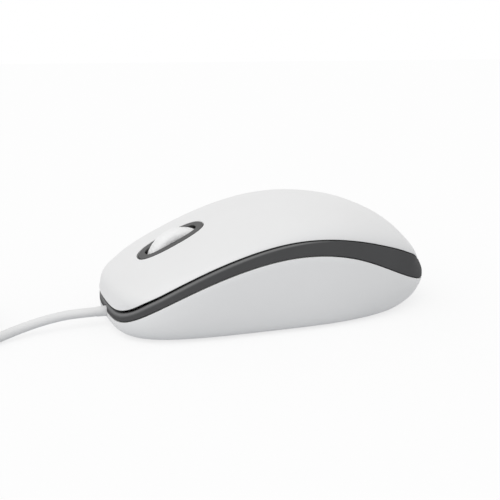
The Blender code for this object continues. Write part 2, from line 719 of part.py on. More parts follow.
def build_optics():
    """Sensor chip, lens, lamp and the clip that holds them to the board."""
    low = BOARD_TOP + SEAT
    w, d, h = SENSOR_SIZE
    centred_block("sensor_chip", (0, SENSOR_Y), (w, d), low, low + h, "black_moulding", MOULD_CORNER, 1)
    floor = BASE_LIFT + WALL + SEAT
    lens = centred_block(
        "sensor_lens", (0, SENSOR_Y), LENS_SIZE, floor, floor + LENS_THICK, "clear_moulding", LENS_CORNER,
    )
    eye_top, eye_low = BOARD_BOTTOM - SEAT, floor + LENS_THICK / 2
    eye = [
        (0, eye_top), (LENS_EYE_RADIUS * 0.5, eye_top - LENS_EYE_ROUND / 4),
        (LENS_EYE_RADIUS * 0.85, eye_top - LENS_EYE_ROUND), (LENS_EYE_RADIUS, eye_low), (0, eye_low),
    ]
    join(lens, turned("lens_eye", eye, (0, SENSOR_Y, 0), (0, 0, 1), sides=20))
    lamp_y = SENSOR_Y - d / 2 - SEAM
    tail = lamp_y - LED_LENGTH
    flange = LED_RADIUS + LED_FLANGE
    lamp = [
        (0, LED_LENGTH), (LED_RADIUS * 0.55, LED_LENGTH - LED_RADIUS / 5),
        (LED_RADIUS, LED_LENGTH - LED_RADIUS), (LED_RADIUS, LED_FLANGE_THICK),
        (flange, LED_FLANGE_THICK), (flange, 0), (0, 0),
    ]
    turned("tracking_lamp", lamp, (0, tail, low + LED_RISE), (0, 1, 0), "red_moulding", sides=16)
    clip_w = w + 2 * (SEAM + CLIP_WALL)
    front, rear = SENSOR_Y + d / 2 + SEAM + CLIP_WALL, tail - SEAM - CLIP_WALL
    size = (clip_w, front - rear)
    middle = (0, (front + rear) / 2)
    clip = centred_block("lamp_clip", middle, size, low, low + CLIP_HEIGHT, "black_moulding", CLIP_WALL, 2)
    hollow = (clip_w - 2 * CLIP_WALL, size[1] - 2 * CLIP_WALL)
    cut(clip, centred_block("clip_hollow", middle, hollow, low - WALL, low + CLIP_HEIGHT - CLIP_WALL))


def build_encoder_lamps():
    """The lamp and the eye that look at each other through the hub's slots."""
    low = BOARD_TOP + SEAT
    w, d, h = LAMP_SIZE
    for side, name in ((1, "scroll_emitter"), (-1, "scroll_detector")):
        x = side * LAMP_X
        body = centred_block(name, (x, AXLE_Y), (w, d), low, low + h, "black_moulding", MOULD_CORNER, 1)
        face = x - side * w / 2
        z = AXLE_Z - ENCODER_RADIUS
        tip = face - side * BEAD_REACH
        join(body, rod(f"{name}_bead", (x, AXLE_Y, z), (tip, AXLE_Y, z), BEAD_RADIUS, sides=12))


def build_small_parts():
    low = BOARD_TOP + SEAT
    w, d, h = CONNECTOR_SIZE
    socket = centred_block(
        "lead_connector", (CONNECTOR_X, CONNECTOR_Y), (w, d), low, low + h, "white_rubber", MOULD_CORNER, 1,
    )
    key_at, key_size = (CONNECTOR_X, CONNECTOR_Y - d / 2), (w * 0.2, d)
    cut(socket, centred_block("connector_key", key_at, key_size, low + h / 2, low + 2 * h))
    r, t, crimp = CAPACITOR_RADIUS, CAPACITOR_HEIGHT, CAPACITOR_CRIMP
    can = [
        (0, t), (r - crimp, t), (r, t - crimp), (r, 3 * crimp), (r - crimp, 2 * crimp), (r, crimp),
        (r - crimp, 0), (0, 0),
    ]
    turned("capacitor", can, (CAPACITOR_X, CAPACITOR_Y, low), (0, 0, 1), "black_moulding", sides=20)
    shank, head = SCREW_RADIUS, SCREW_HEAD_RADIUS
    top = SCREW_SHELF + SCREW_LENGTH
    under = SCREW_SHELF - SCREW_GAP
    screw = [(0, top), (shank, top - shank), (shank, under), (head, under), (head, under - SCREW_HEAD * 0.7)]
    screw += [(head * 0.8, under - SCREW_HEAD), (0, under - SCREW_HEAD)]
    turned("case_screw", screw, (0, SCREW_Y, 0), (0, 0, 1), "steel", sides=20)
    for name, foot_y in FEET.items():
        top = BASE_LIFT + FOOT_SINK - SEAT
        size = (FOOT_WIDTH, FOOT_LENGTH)
        centred_block(name, (0, foot_y), size, 0, top, "slick_pad", FOOT_LENGTH / 2 - SEAM, 5)


# Cord and plug


def smooth_path(route, spacing):
    """Evenly spaced points on a smooth curve through a route's points."""
    p = np.array(route, float)
    t = np.concatenate([[0], np.cumsum(np.linalg.norm(np.diff(p, axis=0), axis=1))])
    slope = np.gradient(p, t, axis=0)
    slope[0] = (p[1] - p[0]) / (t[1] - t[0])
    slope[-1] = (p[-1] - p[-2]) / (t[-1] - t[-2])
    fine = []
    for i in range(len(p) - 1):
        h = t[i + 1] - t[i]
        for s in np.linspace(0, 1, 40, endpoint=False):
            a, b = (1 + 2 * s) * (1 - s)**2, s * (1 - s)**2
            c, d = s * s * (3 - 2 * s), s * s * (s - 1)
            fine.append(a * p[i] + b * h * slope[i] + c * p[i + 1] + d * h * slope[i + 1])
    fine = np.array([*fine, p[-1]])
    run = np.concatenate([[0], np.cumsum(np.linalg.norm(np.diff(fine, axis=0), axis=1))])
    at = np.linspace(0, run[-1], max(int(run[-1] / spacing), 4) + 1)
    return np.stack([np.interp(at, run, fine[:, k]) for k in range(3)], axis=1)


def tube(name, points, radius, finish, resolution):
    curve = bpy.data.curves.new(name, "CURVE")
    curve.dimensions = "3D"
    curve.bevel_depth = radius
    curve.bevel_resolution = resolution
    curve.use_fill_caps = True
    spline = curve.splines.new("POLY")
    spline.points.add(len(points) - 1)
    for point, place_at in zip(spline.points, points):
        point.co = (*place_at, 1.0)
    return place(name, curve, finish)


def coil_points():
    """Loops that spiral in and out, and climb a layer in the half turn of each reversal."""
    pitch = 2 * CORD_RADIUS + COIL_GAP
    per_layer = COIL_TURNS / COIL_LAYERS
    half_band = pitch * per_layer / 2
    floor = CORD_RADIUS + CORD_LIFT
    points = []
    for i in range(COIL_TURNS * LOOP_POINTS + 1):
        turns = i / LOOP_POINTS
        layer = min(int(turns / per_layer), COIL_LAYERS - 1)
        part = turns / per_layer - layer
        inward = part if layer % 2 == 0 else 1 - part
        radius = COIL_RADIUS + half_band * (1 - 2 * inward)
        climb = sum(np.clip((turns - k * per_layer) * 2 + 0.5, 0, 1) for k in range(1, COIL_LAYERS))
        angle = pi - 2 * pi * turns
        points.append((
            COIL_X + radius * cos(angle), COIL_Y + radius * sin(angle), floor + pitch * climb,
        ))
    return np.array(points)


def least_gap(points, radius):
    """The least clear distance between stretches of a tube that are half a turn or more apart."""
    least = 1.0
    apart = LOOP_POINTS // 2
    for i in range(len(points) - apart):
        away = np.linalg.norm(points[i + apart:] - points[i], axis=1)
        least = min(least, away.min() - 2 * radius)
    return least


def build_inlet():
    """The hole at the nose where the cord's strain relief sits between case and band."""
    inside = LENGTH / 2 - WALL - LIP_GAP - BAND_LIP
    return rod("cord_inlet", (0, inside - 2 * SEAM, CORD_Z), (0, LENGTH, CORD_Z), INLET_RADIUS)


def build_relief():
    nose = LENGTH / 2
    inside = nose - WALL - LIP_GAP - BAND_LIP - SEAM
    neck = INLET_RADIUS - INLET_GAP
    tip, back = nose + RELIEF_REACH, inside - RELIEF_COLLAR
    profile = [
        (0, tip), (RELIEF_TIP_RADIUS, tip), (neck, nose + SEAM), (neck, inside),
        (RELIEF_COLLAR_RADIUS, inside), (RELIEF_COLLAR_RADIUS, back), (0, back),
    ]
    turned("strain_relief", profile, (0, 0, CORD_Z), (0, 1, 0), "white_cord", sides=20)
    return back - SEAM


def build_cord():
    """The inner lead, the free run on the desk, the tied coil and the tail to the plug."""
    lead_start = build_relief()
    lead_z = BOARD_TOP + SEAT + CONNECTOR_SIZE[2] / 2
    lead_end = CONNECTOR_Y + CONNECTOR_SIZE[1] / 2 + SEAM
    climb = lead_z - CORD_Z
    lead_route = [
        (0, lead_start, CORD_Z), (0, lead_start - 2 * LEAD_RADIUS, CORD_Z),
        (CONNECTOR_X * 0.24, lead_start - 0.0036, CORD_Z + climb * 0.15),
        (CONNECTOR_X * 0.67, lead_start - 0.0046, CORD_Z + climb * 0.62),
        (CONNECTOR_X * 0.95, lead_start - 0.0072, lead_z), (CONNECTOR_X, lead_start - 0.0124, lead_z),
        (CONNECTOR_X, lead_end + 2 * LEAD_RADIUS, lead_z), (CONNECTOR_X, lead_end, lead_z),
    ]
    tube("inner_lead", smooth_path(lead_route, 2 * LEAD_RADIUS), LEAD_RADIUS, "black_moulding", 1)

    coil = coil_points()
    low, high = coil[0], coil[-1]
    start = LENGTH / 2 + RELIEF_REACH + SEAM
    near = 2 * CORD_RADIUS
    span, aside, drop = low[1] - start, low[0], CORD_Z - low[2]
    run_route = [(0, start, CORD_Z), (0, start + near, CORD_Z)]
    for along, across, down in RUN_BENDS:
        run_route.append((aside * across, start + span * along, CORD_Z - drop * down))
    run_route += [(aside, low[1] - near, low[2]), (aside, low[1] - COIL_END_GAP, low[2])]
    tube("cord_run", smooth_path(run_route, 5 * CORD_RADIUS), CORD_RADIUS, "white_cord", 2)
    tube("cord_coil", coil, CORD_RADIUS, "white_cord", 1)
    print(f"cord_coil least gap to itself: {least_gap(coil, CORD_RADIUS) * 1000:.2f} mm")

    plug_z = PLUG_THICK / 2
    plug_y = high[1] + TAIL_LENGTH
    plug_x = high[0] + TAIL_SHIFT
    drop = high[2] - plug_z
    tail_route = [
        (high[0], high[1] + COIL_END_GAP, high[2]), (high[0], high[1] + near, high[2]),
        (high[0] + TAIL_SHIFT * 0.2, high[1] + TAIL_LENGTH * 0.33, high[2] - drop * 0.23),
        (high[0] + TAIL_SHIFT * 0.7, high[1] + TAIL_LENGTH * 0.65, plug_z + drop * 0.2),
        (plug_x, plug_y - near - SEAM, plug_z), (plug_x, plug_y - SEAM, plug_z),
    ]
    tube("cord_tail", smooth_path(tail_route, 5 * CORD_RADIUS), CORD_RADIUS, "white_cord", 2)
    build_tie()
    build_plug(plug_x, plug_y, plug_z)


def build_tie():
    """A flat strap round the bundle of turns, on the far side of the coil."""
    pitch = 2 * CORD_RADIUS + COIL_GAP
    half_band = pitch * COIL_TURNS / COIL_LAYERS / 2 + CORD_RADIUS
    gap = TIE_GAP
    x_low = COIL_X + COIL_RADIUS - half_band - gap
    x_high = COIL_X + COIL_RADIUS + half_band + gap
    top = 2 * CORD_RADIUS + CORD_LIFT + pitch * (COIL_LAYERS - 1) + gap
    y_low, y_high = COIL_Y - TIE_WIDTH / 2, COIL_Y + TIE_WIDTH / 2
    thick = TIE_THICK
    low, high = (x_low - thick, y_low, CORD_RADIUS), (x_high + thick, y_high, top + thick)
    tie = block("coil_tie", low, high, "white_cord")
    cut(tie, block("tie_room", (x_low, y_low - WALL, -WALL), (x_high, y_high + WALL, top)))


def build_plug(x, y, z):
    """The overmoulded plug with its boot, and the metal shell round a contact tongue."""
    front = y + PLUG_BOOT + PLUG_LENGTH
    half = PLUG_THICK / 2
    grip = centred_block(
        "plug_body", (x, front - PLUG_LENGTH / 2), (PLUG_WIDTH, PLUG_LENGTH), z - half, z + half,
        "white_cord", PLUG_CORNER,
    )
    boot_end = PLUG_BOOT + PLUG_CORNER
    boot = [(0, boot_end), (half * 0.8, boot_end), (PLUG_BOOT_RADIUS, 0), (0, 0)]
    join(grip, turned("plug_boot", boot, (x, y, z), (0, 1, 0), sides=20))
    w, t = SHELL_WIDTH / 2, SHELL_THICK / 2
    socket_y = front - SHELL_SEAT
    gap = SHELL_GAP
    low, high = (x - w - gap, socket_y - gap, z - t - gap), (x + w + gap, front + WALL, z + t + gap)
    cut(grip, block("shell_socket", low, high))
    end = socket_y + SHELL_SEAT + SHELL_LENGTH
    wall = SHELL_WALL
    shell = block("plug_shell", (x - w, socket_y, z - t), (x + w, end, z + t), "steel")
    low, high = (x - w + wall, socket_y - WALL, z - t + wall), (x + w - wall, end + WALL, z + t - wall)
    cut(shell, block("shell_bore", low, high))
    tongue_low = z - t + wall + gap
    inner = w - wall - gap
    low, high = (x - inner, socket_y, tongue_low), (x + inner, end - 2 * wall, tongue_low + TONGUE_THICK)
    block("plug_tongue", low, high, "black_moulding")


for old in list(bpy.data.objects):
    bpy.data.objects.remove(old, do_unlink=True)

PARTS = new_collection("corded_mouse")
CUTTERS = new_collection("cutters")

EDGE_LINE = line_through(COVER_EDGE)
SILL_LINE = line_through(BAND_SILL)
CROWN_LINE = line_through(CROWN)
PLAN = plan_outline(AROUND)

# Places that follow from the sizes above
WHEEL_STEP = WHEEL_RADIUS / 4
WHEEL_FALL = crown_height(WHEEL_Y - WHEEL_STEP) - crown_height(WHEEL_Y + WHEEL_STEP)
WHEEL_TILT = atan(WHEEL_FALL / (2 * WHEEL_STEP))
WHEEL_TOP = Vector((0, WHEEL_Y, crown_height(WHEEL_Y)))
AXLE_Y = WHEEL_Y - (WHEEL_RADIUS - WHEEL_RISE) * sin(WHEEL_TILT)
AXLE_Z = WHEEL_TOP.z - (WHEEL_RADIUS - WHEEL_RISE) * cos(WHEEL_TILT)
ARM_X = WHEEL_WIDTH / 2 + ARM_GAP
PIVOT_Y = AXLE_Y - PIVOT_REACH
POST_X = ARM_X + ARM_WIDTH + LEG_RADIUS + POST_WIDTH / 2
PIN_END = POST_X + POST_WIDTH
BOARD_TOP = BOARD_BOTTOM + BOARD_THICK
BOARD_FRONT = LENGTH / 2 - BOARD_NOSE
SWITCH_Y = BOARD_FRONT - SWITCH_INSET
PLUNGER_Y = SWITCH_Y + PLUNGER_FORWARD
PLUNGER_TOP = BOARD_TOP + SEAT + SWITCH_SIZE[2] + PLUNGER_RISE
CLICK_Y = PIVOT_Y + CLICK_REACH
CLICK_TOP = BOARD_TOP + SEAT + CLICK_HEIGHT + CLICK_RISE
SCREW_SHELF = BASE_LIFT + FOOT_SINK + SCREW_HEAD + SCREW_GAP + WALL / 2
LEG_X = ARM_X + ARM_WIDTH + LEG_RADIUS + SEAM
FRONT_LEG_X = WHEEL_WIDTH / 2 + WHEEL_GAP + LEG_RADIUS + SEAM
RING_LEGS = [(side * LEG_X, AXLE_Y - LEG_BACK) for side in (-1, 1)]
RING_LEGS += [(side * FRONT_LEG_X, AXLE_Y + WHEEL_RADIUS - SEAM) for side in (-1, 1)]
BOARD_POST_X = BOARD_WIDTH / 2 - 2 * BOARD_POST_RADIUS
BOARD_POST_ROWS = (BOARD_REAR + REAR_POST_INSET, BOARD_FRONT - FRONT_POST_INSET)
BOARD_POSTS = [(side * BOARD_POST_X, y) for side in (-1, 1) for y in BOARD_POST_ROWS]
FEET = {"front_foot": LENGTH / 2 - FRONT_FOOT_INSET, "rear_foot": REAR_FOOT_INSET - LENGTH / 2}
COIL_Y = LENGTH / 2 + COIL_AWAY

INLET = build_inlet()
build_case(INLET)
build_band(INLET)
build_cover(cover_core(WALL / 2))
build_trim_ring()
build_wheel()
build_carrier()
build_board()
build_button_switch(-1, "left")
build_button_switch(1, "right")
build_click_switch()
build_optics()
build_encoder_lamps()
build_small_parts()
build_cord()
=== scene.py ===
"""The corded mouse as photographed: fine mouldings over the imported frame, cord, light and camera.

Metres, in the frame of the CAD model: +Z up, +Y the cord end, the desk at z = 0.
"""
from math import atan, cos, pi, radians, sin

import bmesh
import bpy
import numpy as np
from mathutils import Matrix, Vector


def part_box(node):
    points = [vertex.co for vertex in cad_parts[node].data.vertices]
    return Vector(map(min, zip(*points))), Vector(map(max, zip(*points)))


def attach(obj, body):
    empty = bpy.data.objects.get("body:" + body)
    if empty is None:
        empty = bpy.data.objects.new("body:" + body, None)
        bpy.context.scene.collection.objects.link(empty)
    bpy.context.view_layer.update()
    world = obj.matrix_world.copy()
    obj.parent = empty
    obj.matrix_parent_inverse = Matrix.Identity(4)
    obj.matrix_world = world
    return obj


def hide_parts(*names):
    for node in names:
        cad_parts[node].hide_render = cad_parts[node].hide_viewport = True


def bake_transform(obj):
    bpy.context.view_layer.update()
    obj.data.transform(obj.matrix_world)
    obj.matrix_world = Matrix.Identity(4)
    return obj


# Housing form, the same sizes as the CAD source
LENGTH = 0.113
WIDTH = 0.062
BASE_LIFT = 0.0008
WALL = 0.0018
SEAM = 0.0003
FRONT_SQUARENESS = 4.4
FRONT_BOW = 0.031
REAR_SQUARENESS = 2.2
END_TAPER = 0.02
WIDEST_SHARE = -0.45
SIDE_TUCK = 0.0044
FRONT_TUCK = 0.0043
REAR_TUCK = 0.0137
TUCK_POWER = 2.36
DOME_POWER = 2.93
DOME_POWER_CHANGE = 0.42
DOME_ROOT = 1.67
DOME_ROOT_CHANGE = -0.27
STATIONS = [share * LENGTH / 2 for share in (-1.0, -0.7, -0.35, 0.0, 0.35, 0.7, 1.0)]
COVER_EDGE = (0.0142, 0.0217, 0.0278, 0.0298, 0.0264, 0.0187, 0.0083)
BAND_SILL = (0.0081, 0.0135, 0.0217, 0.0246, 0.0216, 0.0143, 0.0046)
CROWN = (0.0161, 0.0346, 0.0393, 0.0383, 0.0339, 0.0292, 0.0330)
FRONT_GAP = 0.0009
BAND_LIP = 0.0010
LIP_GAP = 0.00035
HINGE_Y = -0.010

# The depth of the band's lip, its rounded upper edge and the reach of the painted highlight along that edge
LIP_DEPTH = 0.0008
BAND_SHOULDER = 0.0014
BAND_SHOULDER_DEPTH = 0.6
SHOULDER_GROWTH = 0.5
HIGHLIGHT_SHARPNESS = 1.5
HIGHLIGHT_ONSET = 6

# Rounding of the housing's ends: the rear drawn in above and below, the palm and the nose fuller
REAR_DRAW = 0.0029
REAR_DRAW_REACH = 0.014
REAR_DRAW_HEIGHTS = (0.0105, 0.0180)
REAR_UNDERCUT = 0.0011
REAR_UNDERCUT_SPAN = (0.010, 0.024)
REAR_UNDERCUT_HEIGHTS = (0.0050, 0.0095)
PALM_FILL = 0.0006
PALM_FILL_SPAN = (0.011, 0.028)
PALM_FILL_HEIGHTS = (0.018, 0.030)
NOSE_FILL = 0.0007
NOSE_FILL_SPAN = (0.006, 0.012)
NOSE_FILL_HEIGHTS = (0.0095, 0.0185)

# Wheel, its opening and its trim
WHEEL_Y = 0.0346
WHEEL_RADIUS = 0.012
WHEEL_WIDTH = 0.0066
WHEEL_RISE = 0.0026
WHEEL_GAP = 0.0007
OPENING_LENGTH = 0.0242
OPENING_WIDTH = 0.0157
OPENING_SQUARENESS = 2.5
SLOT_SQUARENESS = 3.0
SLOT_FOOT_SQUARENESS = 6.0
SLOT_END_GAP = 0.0005
RING_RECESS = 0.0001
RING_DEPTH = 0.0044
RING_FACE_SHARES = (0.08, 0.92)
TYRE_DEPTH = 0.0032
TYRE_RIBS = 60
TYRE_RIB_DEPTH = 0.00002
TYRE_RIB_STEEPNESS = 1.6
TYRE_RIB_FADE = 4
TYRE_CROWN = 0.0014
TYRE_CROWN_POWER = 3.4

# Underside
SENSOR_Y = -0.004
WINDOW_SIZE = (0.0064, 0.0100)
WINDOW_CORNER = 0.0025
SCREW_Y = -0.027
SCREW_HOLE = 0.0024
FOOT_SINK = 0.0005

# Cord, its run as shares of the way (along, across, down), its coil and its tie
CORD_RADIUS = 0.0015
CORD_Z = 0.0048
CORD_LIFT = 0.00005
INLET_RADIUS = 0.00195
INLET_INSIDE = LENGTH / 2 - WALL - LIP_GAP - BAND_LIP - SEAM
COLLAR_RADIUS = 0.0021
COLLAR_ROOM = 0.0020
RELIEF_REACH = 0.0030
RUN_BENDS = (
    (0.164, 0.0, 0.06), (0.293, 0.05, 0.34), (0.421, 0.19, 0.68), (0.55, 0.44, 0.92), (0.678, 0.73, 1.0),
    (0.823, 0.92, 1.0),
)
COIL_X = 0.004
COIL_AWAY = 0.0655
COIL_Y = LENGTH / 2 + COIL_AWAY
COIL_RADIUS = 0.0180
COIL_TURNS = 15
COIL_LAYERS = 4
COIL_GAP = 0.0005
CLIMB_TURNS = 0.5
TAIL_LENGTH = 0.040
TAIL_SHIFT = 0.006
TAIL_BENDS = ((0.33, 0.2, 0.23), (0.65, 0.7, 0.8))
TIE_THICK = 0.0008
TIE_GAP = 0.0004
TIE_FLAP = 0.0065
FLAP_RISE_SHARE = 0.2
FLAP_FALL = 0.15

# Plug on the cord's far end
PLUG_LENGTH = 0.0200
PLUG_THICK = 0.0084
PLUG_CORNER = 0.0030
PLUG_SQUARENESS = 7.0
ROUND_SQUARENESS = 2.0
BOOT_RADIUS = 0.0026
BOOT_NECK_SHARE = 0.8
BOOT_RIBS = 6
BOOT_GROOVE = 0.0005
BOOT_GROOVE_FADE = 0.3
BOOT_TIP_SHARE = 0.05
GRIP_DIP = 0.0006
GRIP_RIBS = 7
GRIP_RIB_DEPTH = 0.00018
SHELL_CORNER = 0.0007
SHELL_WALL = 0.0003
SHELL_GAP = 0.0002
SHELL_WINDOW = (0.0022, 0.0024)
SHELL_WINDOW_APART = 0.0060
SHELL_WINDOW_BACK = 0.0050
TONGUE_SQUARENESS = 12.0
CONTACT_WIDTH = 0.0011
CONTACT_LENGTH = 0.0068
CONTACT_THICK = 0.00012
CONTACT_TIP_SHARE = 0.1
CONTACT_SECTION = ((-1, -1), (-1, 0.6), (-0.8, 1), (0.8, 1), (1, 0.6), (1, -1))
CONTACT_PLACES = (-0.0035, -0.0010, 0.0010, 0.0035)

# Edge rounds, and the angles past which edges are sharp
EDGE_ROUND = 0.00025
OPENING_ROUND = 0.00035
RING_ROUND = 0.7 * OPENING_ROUND
SMOOTH_ANGLE = radians(40)
FOLD_ANGLE = radians(30)

# Mesh density, and where the rows lie
OUTLINE_SAMPLES = 8001
REACH_SAMPLES = 4000
RAYS = 176
AROUND = 360
EDGE_STEPS = 5
OPENING_STEPS = 6
COVER_ROWS = 64
COVER_INNER_ROWS = 12
RIM_SHARE = 0.9985
RIM_CROWDING = 2.4
CASE_ROWS = 30
CASE_INNER_ROWS = 20
CASE_INNER_START = 0.2
BAND_ROWS = 8
SHOULDER_STEPS = 9
RING_SIDES = 160
RING_FACE_ROWS = 10
SLOT_ROWS = 7
TYRE_ROWS = 25
TYRE_RIB_SIDES = 8
LOOP_POINTS = 48
PATH_STEPS = 40
PATH_SPACING = 2 * CORD_RADIUS
LOFT_SIDES = 72
TONGUE_SIDES = 96
BOOT_ROWS = 61
PLUG_CORNER_ROWS = 12
GRIP_ROWS = 71
TONGUE_ROWS = 12
CONTACT_ROWS = 24
SHELL_STEPS = 7
STRAP_SIDE_ROWS = 14
STRAP_BEND_ROWS = 9
STRAP_TOP_ROWS = 20
FLAP_ROWS = 16
STRAP_EDGE_STEPS = 7

# Small distances: the cover halves' from the middle plane, and what keeps a corner under half a side
MIDDLE_GAP = 1e-6
HAIR = 1e-5

# Rounds of settling a place on the cover, and how far across its skin's normals point at the middle
SETTLE_STEPS = 12
FACING_SHARE = 0.5

# Grain of the finishes
CLOUD_SCALE = 60.0
CLOUD_DETAIL = 4.0
CLOUD_STOPS = (0.3, 0.7)
GRAIN_SCALE = 2500.0
GRAIN_DETAIL = 2.0
GRAIN_HEIGHT = 0.0001
GLOSS_SPREAD = 0.04

# Floor and light
FLOOR_HALF = 3.0
FLOOR_DROP = 0.00002
FLOOR_COLOUR = (0.585, 0.60, 0.62)
FLOOR_ROUGHNESS = 0.9
PAPER_GLOW = 0.75
SKY_STRENGTH = 0.71
KEY_STRENGTH = 1.05
KEY_SPREAD = radians(70)
KEY_FROM = (-0.50, 0.50, 0.65)

# The photograph's camera, from the fit of the outline
AZIMUTH = radians(249.48)
ELEVATION = radians(13.40)
DISTANCE = 0.30536
FOCAL_PIXELS = 892.96
FRAME_PIXELS = 500
CAMERA_SENSOR = 36.0
CLIP_START = 0.01
AIM = Vector((0, 0, 0.015))
ASIDE = 0.00634
LIFT = -0.00508


def mesh_object(name, vertices, faces, material):
    """A smooth piece whose edges are sharp where its faces turn far enough."""
    mesh = bpy.data.meshes.new(name)
    mesh.from_pydata([tuple(v) for v in vertices], [], faces)
    mesh.validate()
    mesh.shade_smooth()
    mesh.set_sharp_from_angle(angle=SMOOTH_ANGLE)
    mesh.materials.append(material)
    obj = bpy.data.objects.new(name, mesh)
    bpy.context.scene.collection.objects.link(obj)
    return obj


def grid_faces(rows, columns, wrap_rows=False, wrap_columns=False):
    """Quads of a grid whose vertices run column by column inside each row."""
    faces = []
    for i in range(rows if wrap_rows else rows - 1):
        here, there = i * columns, (i + 1) % rows * columns
        for j in range(columns if wrap_columns else columns - 1):
            k = (j + 1) % columns
            faces.append((here + j, here + k, there + k, there + j))
    return faces


def end_faces(rows, columns):
    """The two faces that close the ends of a tube whose rows are its rings."""
    last = (rows - 1) * columns
    return [tuple(range(columns))[::-1], tuple(range(last, last + columns))]


def flipped(faces):
    return [face[::-1] for face in faces]


def quarter_round(radius, steps=EDGE_STEPS):
    """Pairs of distances from the two faces that meet in a rounded edge, from one face to the other."""
    return [(radius * (1 - cos(t)), radius * (1 - sin(t))) for t in np.linspace(0, pi / 2, steps)]


# Housing surfaces


def line_through(heights):
    """A cubic spline over the stations, with one cubic over each end pair of spans."""
    stations, values = np.array(STATIONS), np.array(heights)
    spans, count = np.diff(stations), len(stations)
    matrix, target = np.zeros((count, count)), np.zeros(count)
    for i in range(1, count - 1):
        before, after = spans[i - 1], spans[i]
        matrix[i, i - 1:i + 2] = before, 2 * (before + after), after
        target[i] = 6 * ((values[i + 1] - values[i]) / after - (values[i] - values[i - 1]) / before)
    matrix[0, :3] = spans[1], -spans[0] - spans[1], spans[0]
    matrix[-1, -3:] = spans[-1], -spans[-2] - spans[-1], spans[-2]
    bends = np.linalg.solve(matrix, target)

    def height(y):
        i = np.clip(np.searchsorted(stations, y) - 1, 0, count - 2)
        start, end = (stations[i + 1] - y) / spans[i], (y - stations[i]) / spans[i]
        bend = (start**3 - start) * bends[i] + (end**3 - end) * bends[i + 1]
        return start * values[i] + end * values[i + 1] + bend * spans[i]**2 / 6

    return height


def plan_outline(count):
    """Points round the housing's plan and their outward normals, from the rear, by length."""
    t = np.linspace(-pi / 2, 3 * pi / 2, OUTLINE_SAMPLES)
    power = 2 / np.where(np.sin(t) > 0, FRONT_SQUARENESS, REAR_SQUARENESS)
    y = np.sign(np.sin(t)) * np.abs(np.sin(t))**power
    x = np.sign(np.cos(t)) * np.abs(np.cos(t))**power * (1 - END_TAPER * (y - WIDEST_SHARE)**2)
    y = np.where(y > 0, y * (1 - FRONT_BOW * x**2), y)
    x, y = x * WIDTH / 2, y * LENGTH / 2
    run = np.concatenate([[0], np.cumsum(np.hypot(np.diff(x), np.diff(y)))])
    at = np.linspace(0, run[-1], count, endpoint=False)
    x, y = np.interp(at, run, x), np.interp(at, run, y)
    dx, dy = np.roll(x, -1) - np.roll(x, 1), np.roll(y, -1) - np.roll(y, 1)
    length = np.hypot(dx, dy)
    return x, y, dy / length, -dx / length


def half_outline(side):
    """The plan's outline on one side, end to end on the middle line, counterclockwise."""
    x, y, nx, ny = plan_outline(2 * RAYS)
    pick = np.arange(RAYS + 1) if side > 0 else np.arange(RAYS, 2 * RAYS + 1) % (2 * RAYS)
    return x[pick], y[pick], nx[pick], ny[pick]


def inset_row(outline, inset, z):
    """A row of points at a height, moved in from an outline of places and outward normals."""
    x, y, nx, ny = outline
    return np.column_stack([x - nx * inset, y - ny * inset, z + 0 * x])


def reach_table():
    """How far the plan's outline is from the middle, by direction."""
    x, y, _, _ = plan_outline(REACH_SAMPLES)
    turn = np.arctan2(y, x)
    order = np.argsort(turn)
    return turn[order], np.hypot(x, y)[order]


def cover_height(x, y, depth=0.0):
    """The height of the cover's outer face over a place in plan, or of a face at a depth below it."""
    turn = np.arctan2(y, x)
    reach = np.interp(turn, *REACH, period=2 * pi)
    rim_y = reach * np.sin(turn)
    share = rim_y / (LENGTH / 2)
    r = np.minimum(np.hypot(x, y) / (reach - depth), 1.0)
    power, root = DOME_POWER + DOME_POWER_CHANGE * share, DOME_ROOT + DOME_ROOT_CHANGE * share
    edge = EDGE_LINE(rim_y)
    return edge + (CROWN_LINE(y) - depth - edge) * (1 - r**power)**(1 / root)


def ease(value, span):
    """A smooth step from 0 to 1 over a span."""
    low, high = span
    t = np.clip((value - low) / (high - low), 0, 1)
    return t * t * (3 - 2 * t)


def hump(value, span):
    """A smooth rise from 0 to 1 in the middle of a span, and back."""
    low, high = span
    return np.sin(pi * np.clip((value - low) / (high - low), 0, 1))**2


def round_ends(points):
    """Moves the housing's points along Y, so that its two ends are round, full curves."""
    moved = np.array(points)
    y, z = moved[..., 1], moved[..., 2]
    rear, front = LENGTH / 2 + y, LENGTH / 2 - y
    draw = REAR_DRAW * (1 - ease(rear, (0, REAR_DRAW_REACH))) * ease(z, REAR_DRAW_HEIGHTS)
    undercut = REAR_UNDERCUT * (1 - ease(rear, REAR_UNDERCUT_SPAN)) * (1 - ease(z, REAR_UNDERCUT_HEIGHTS))
    palm = PALM_FILL * hump(rear, PALM_FILL_SPAN) * ease(z, PALM_FILL_HEIGHTS)
    nose = NOSE_FILL * (1 - ease(front, NOSE_FILL_SPAN)) * hump(z, NOSE_FILL_HEIGHTS)
    moved[..., 1] = y + draw + undercut - palm + nose
    return moved


def on_cover(across, along, sink=0.0):
    """Places in the wheel's tilted plane, carried along its upright onto the cover, or below it."""
    points = np.stack([across, WHEEL_Y + along * TILT_COS, WHEEL_TOP - along * TILT_SIN], axis=-1)
    for _ in range(SETTLE_STEPS):
        miss = cover_height(points[..., 0], points[..., 1]) - points[..., 2]
        points = points + (miss * TILT_COS)[..., None] * UPRIGHT
    return points - sink * UPRIGHT


def oval_reach(turn, half_length, half_width, power):
    """The radius of an oval in a direction that is measured from its long axis."""
    a, b = np.abs(np.cos(turn)) / half_length, np.abs(np.sin(turn)) / half_width
    return (a**power + b**power)**(-1 / power)


# Cover


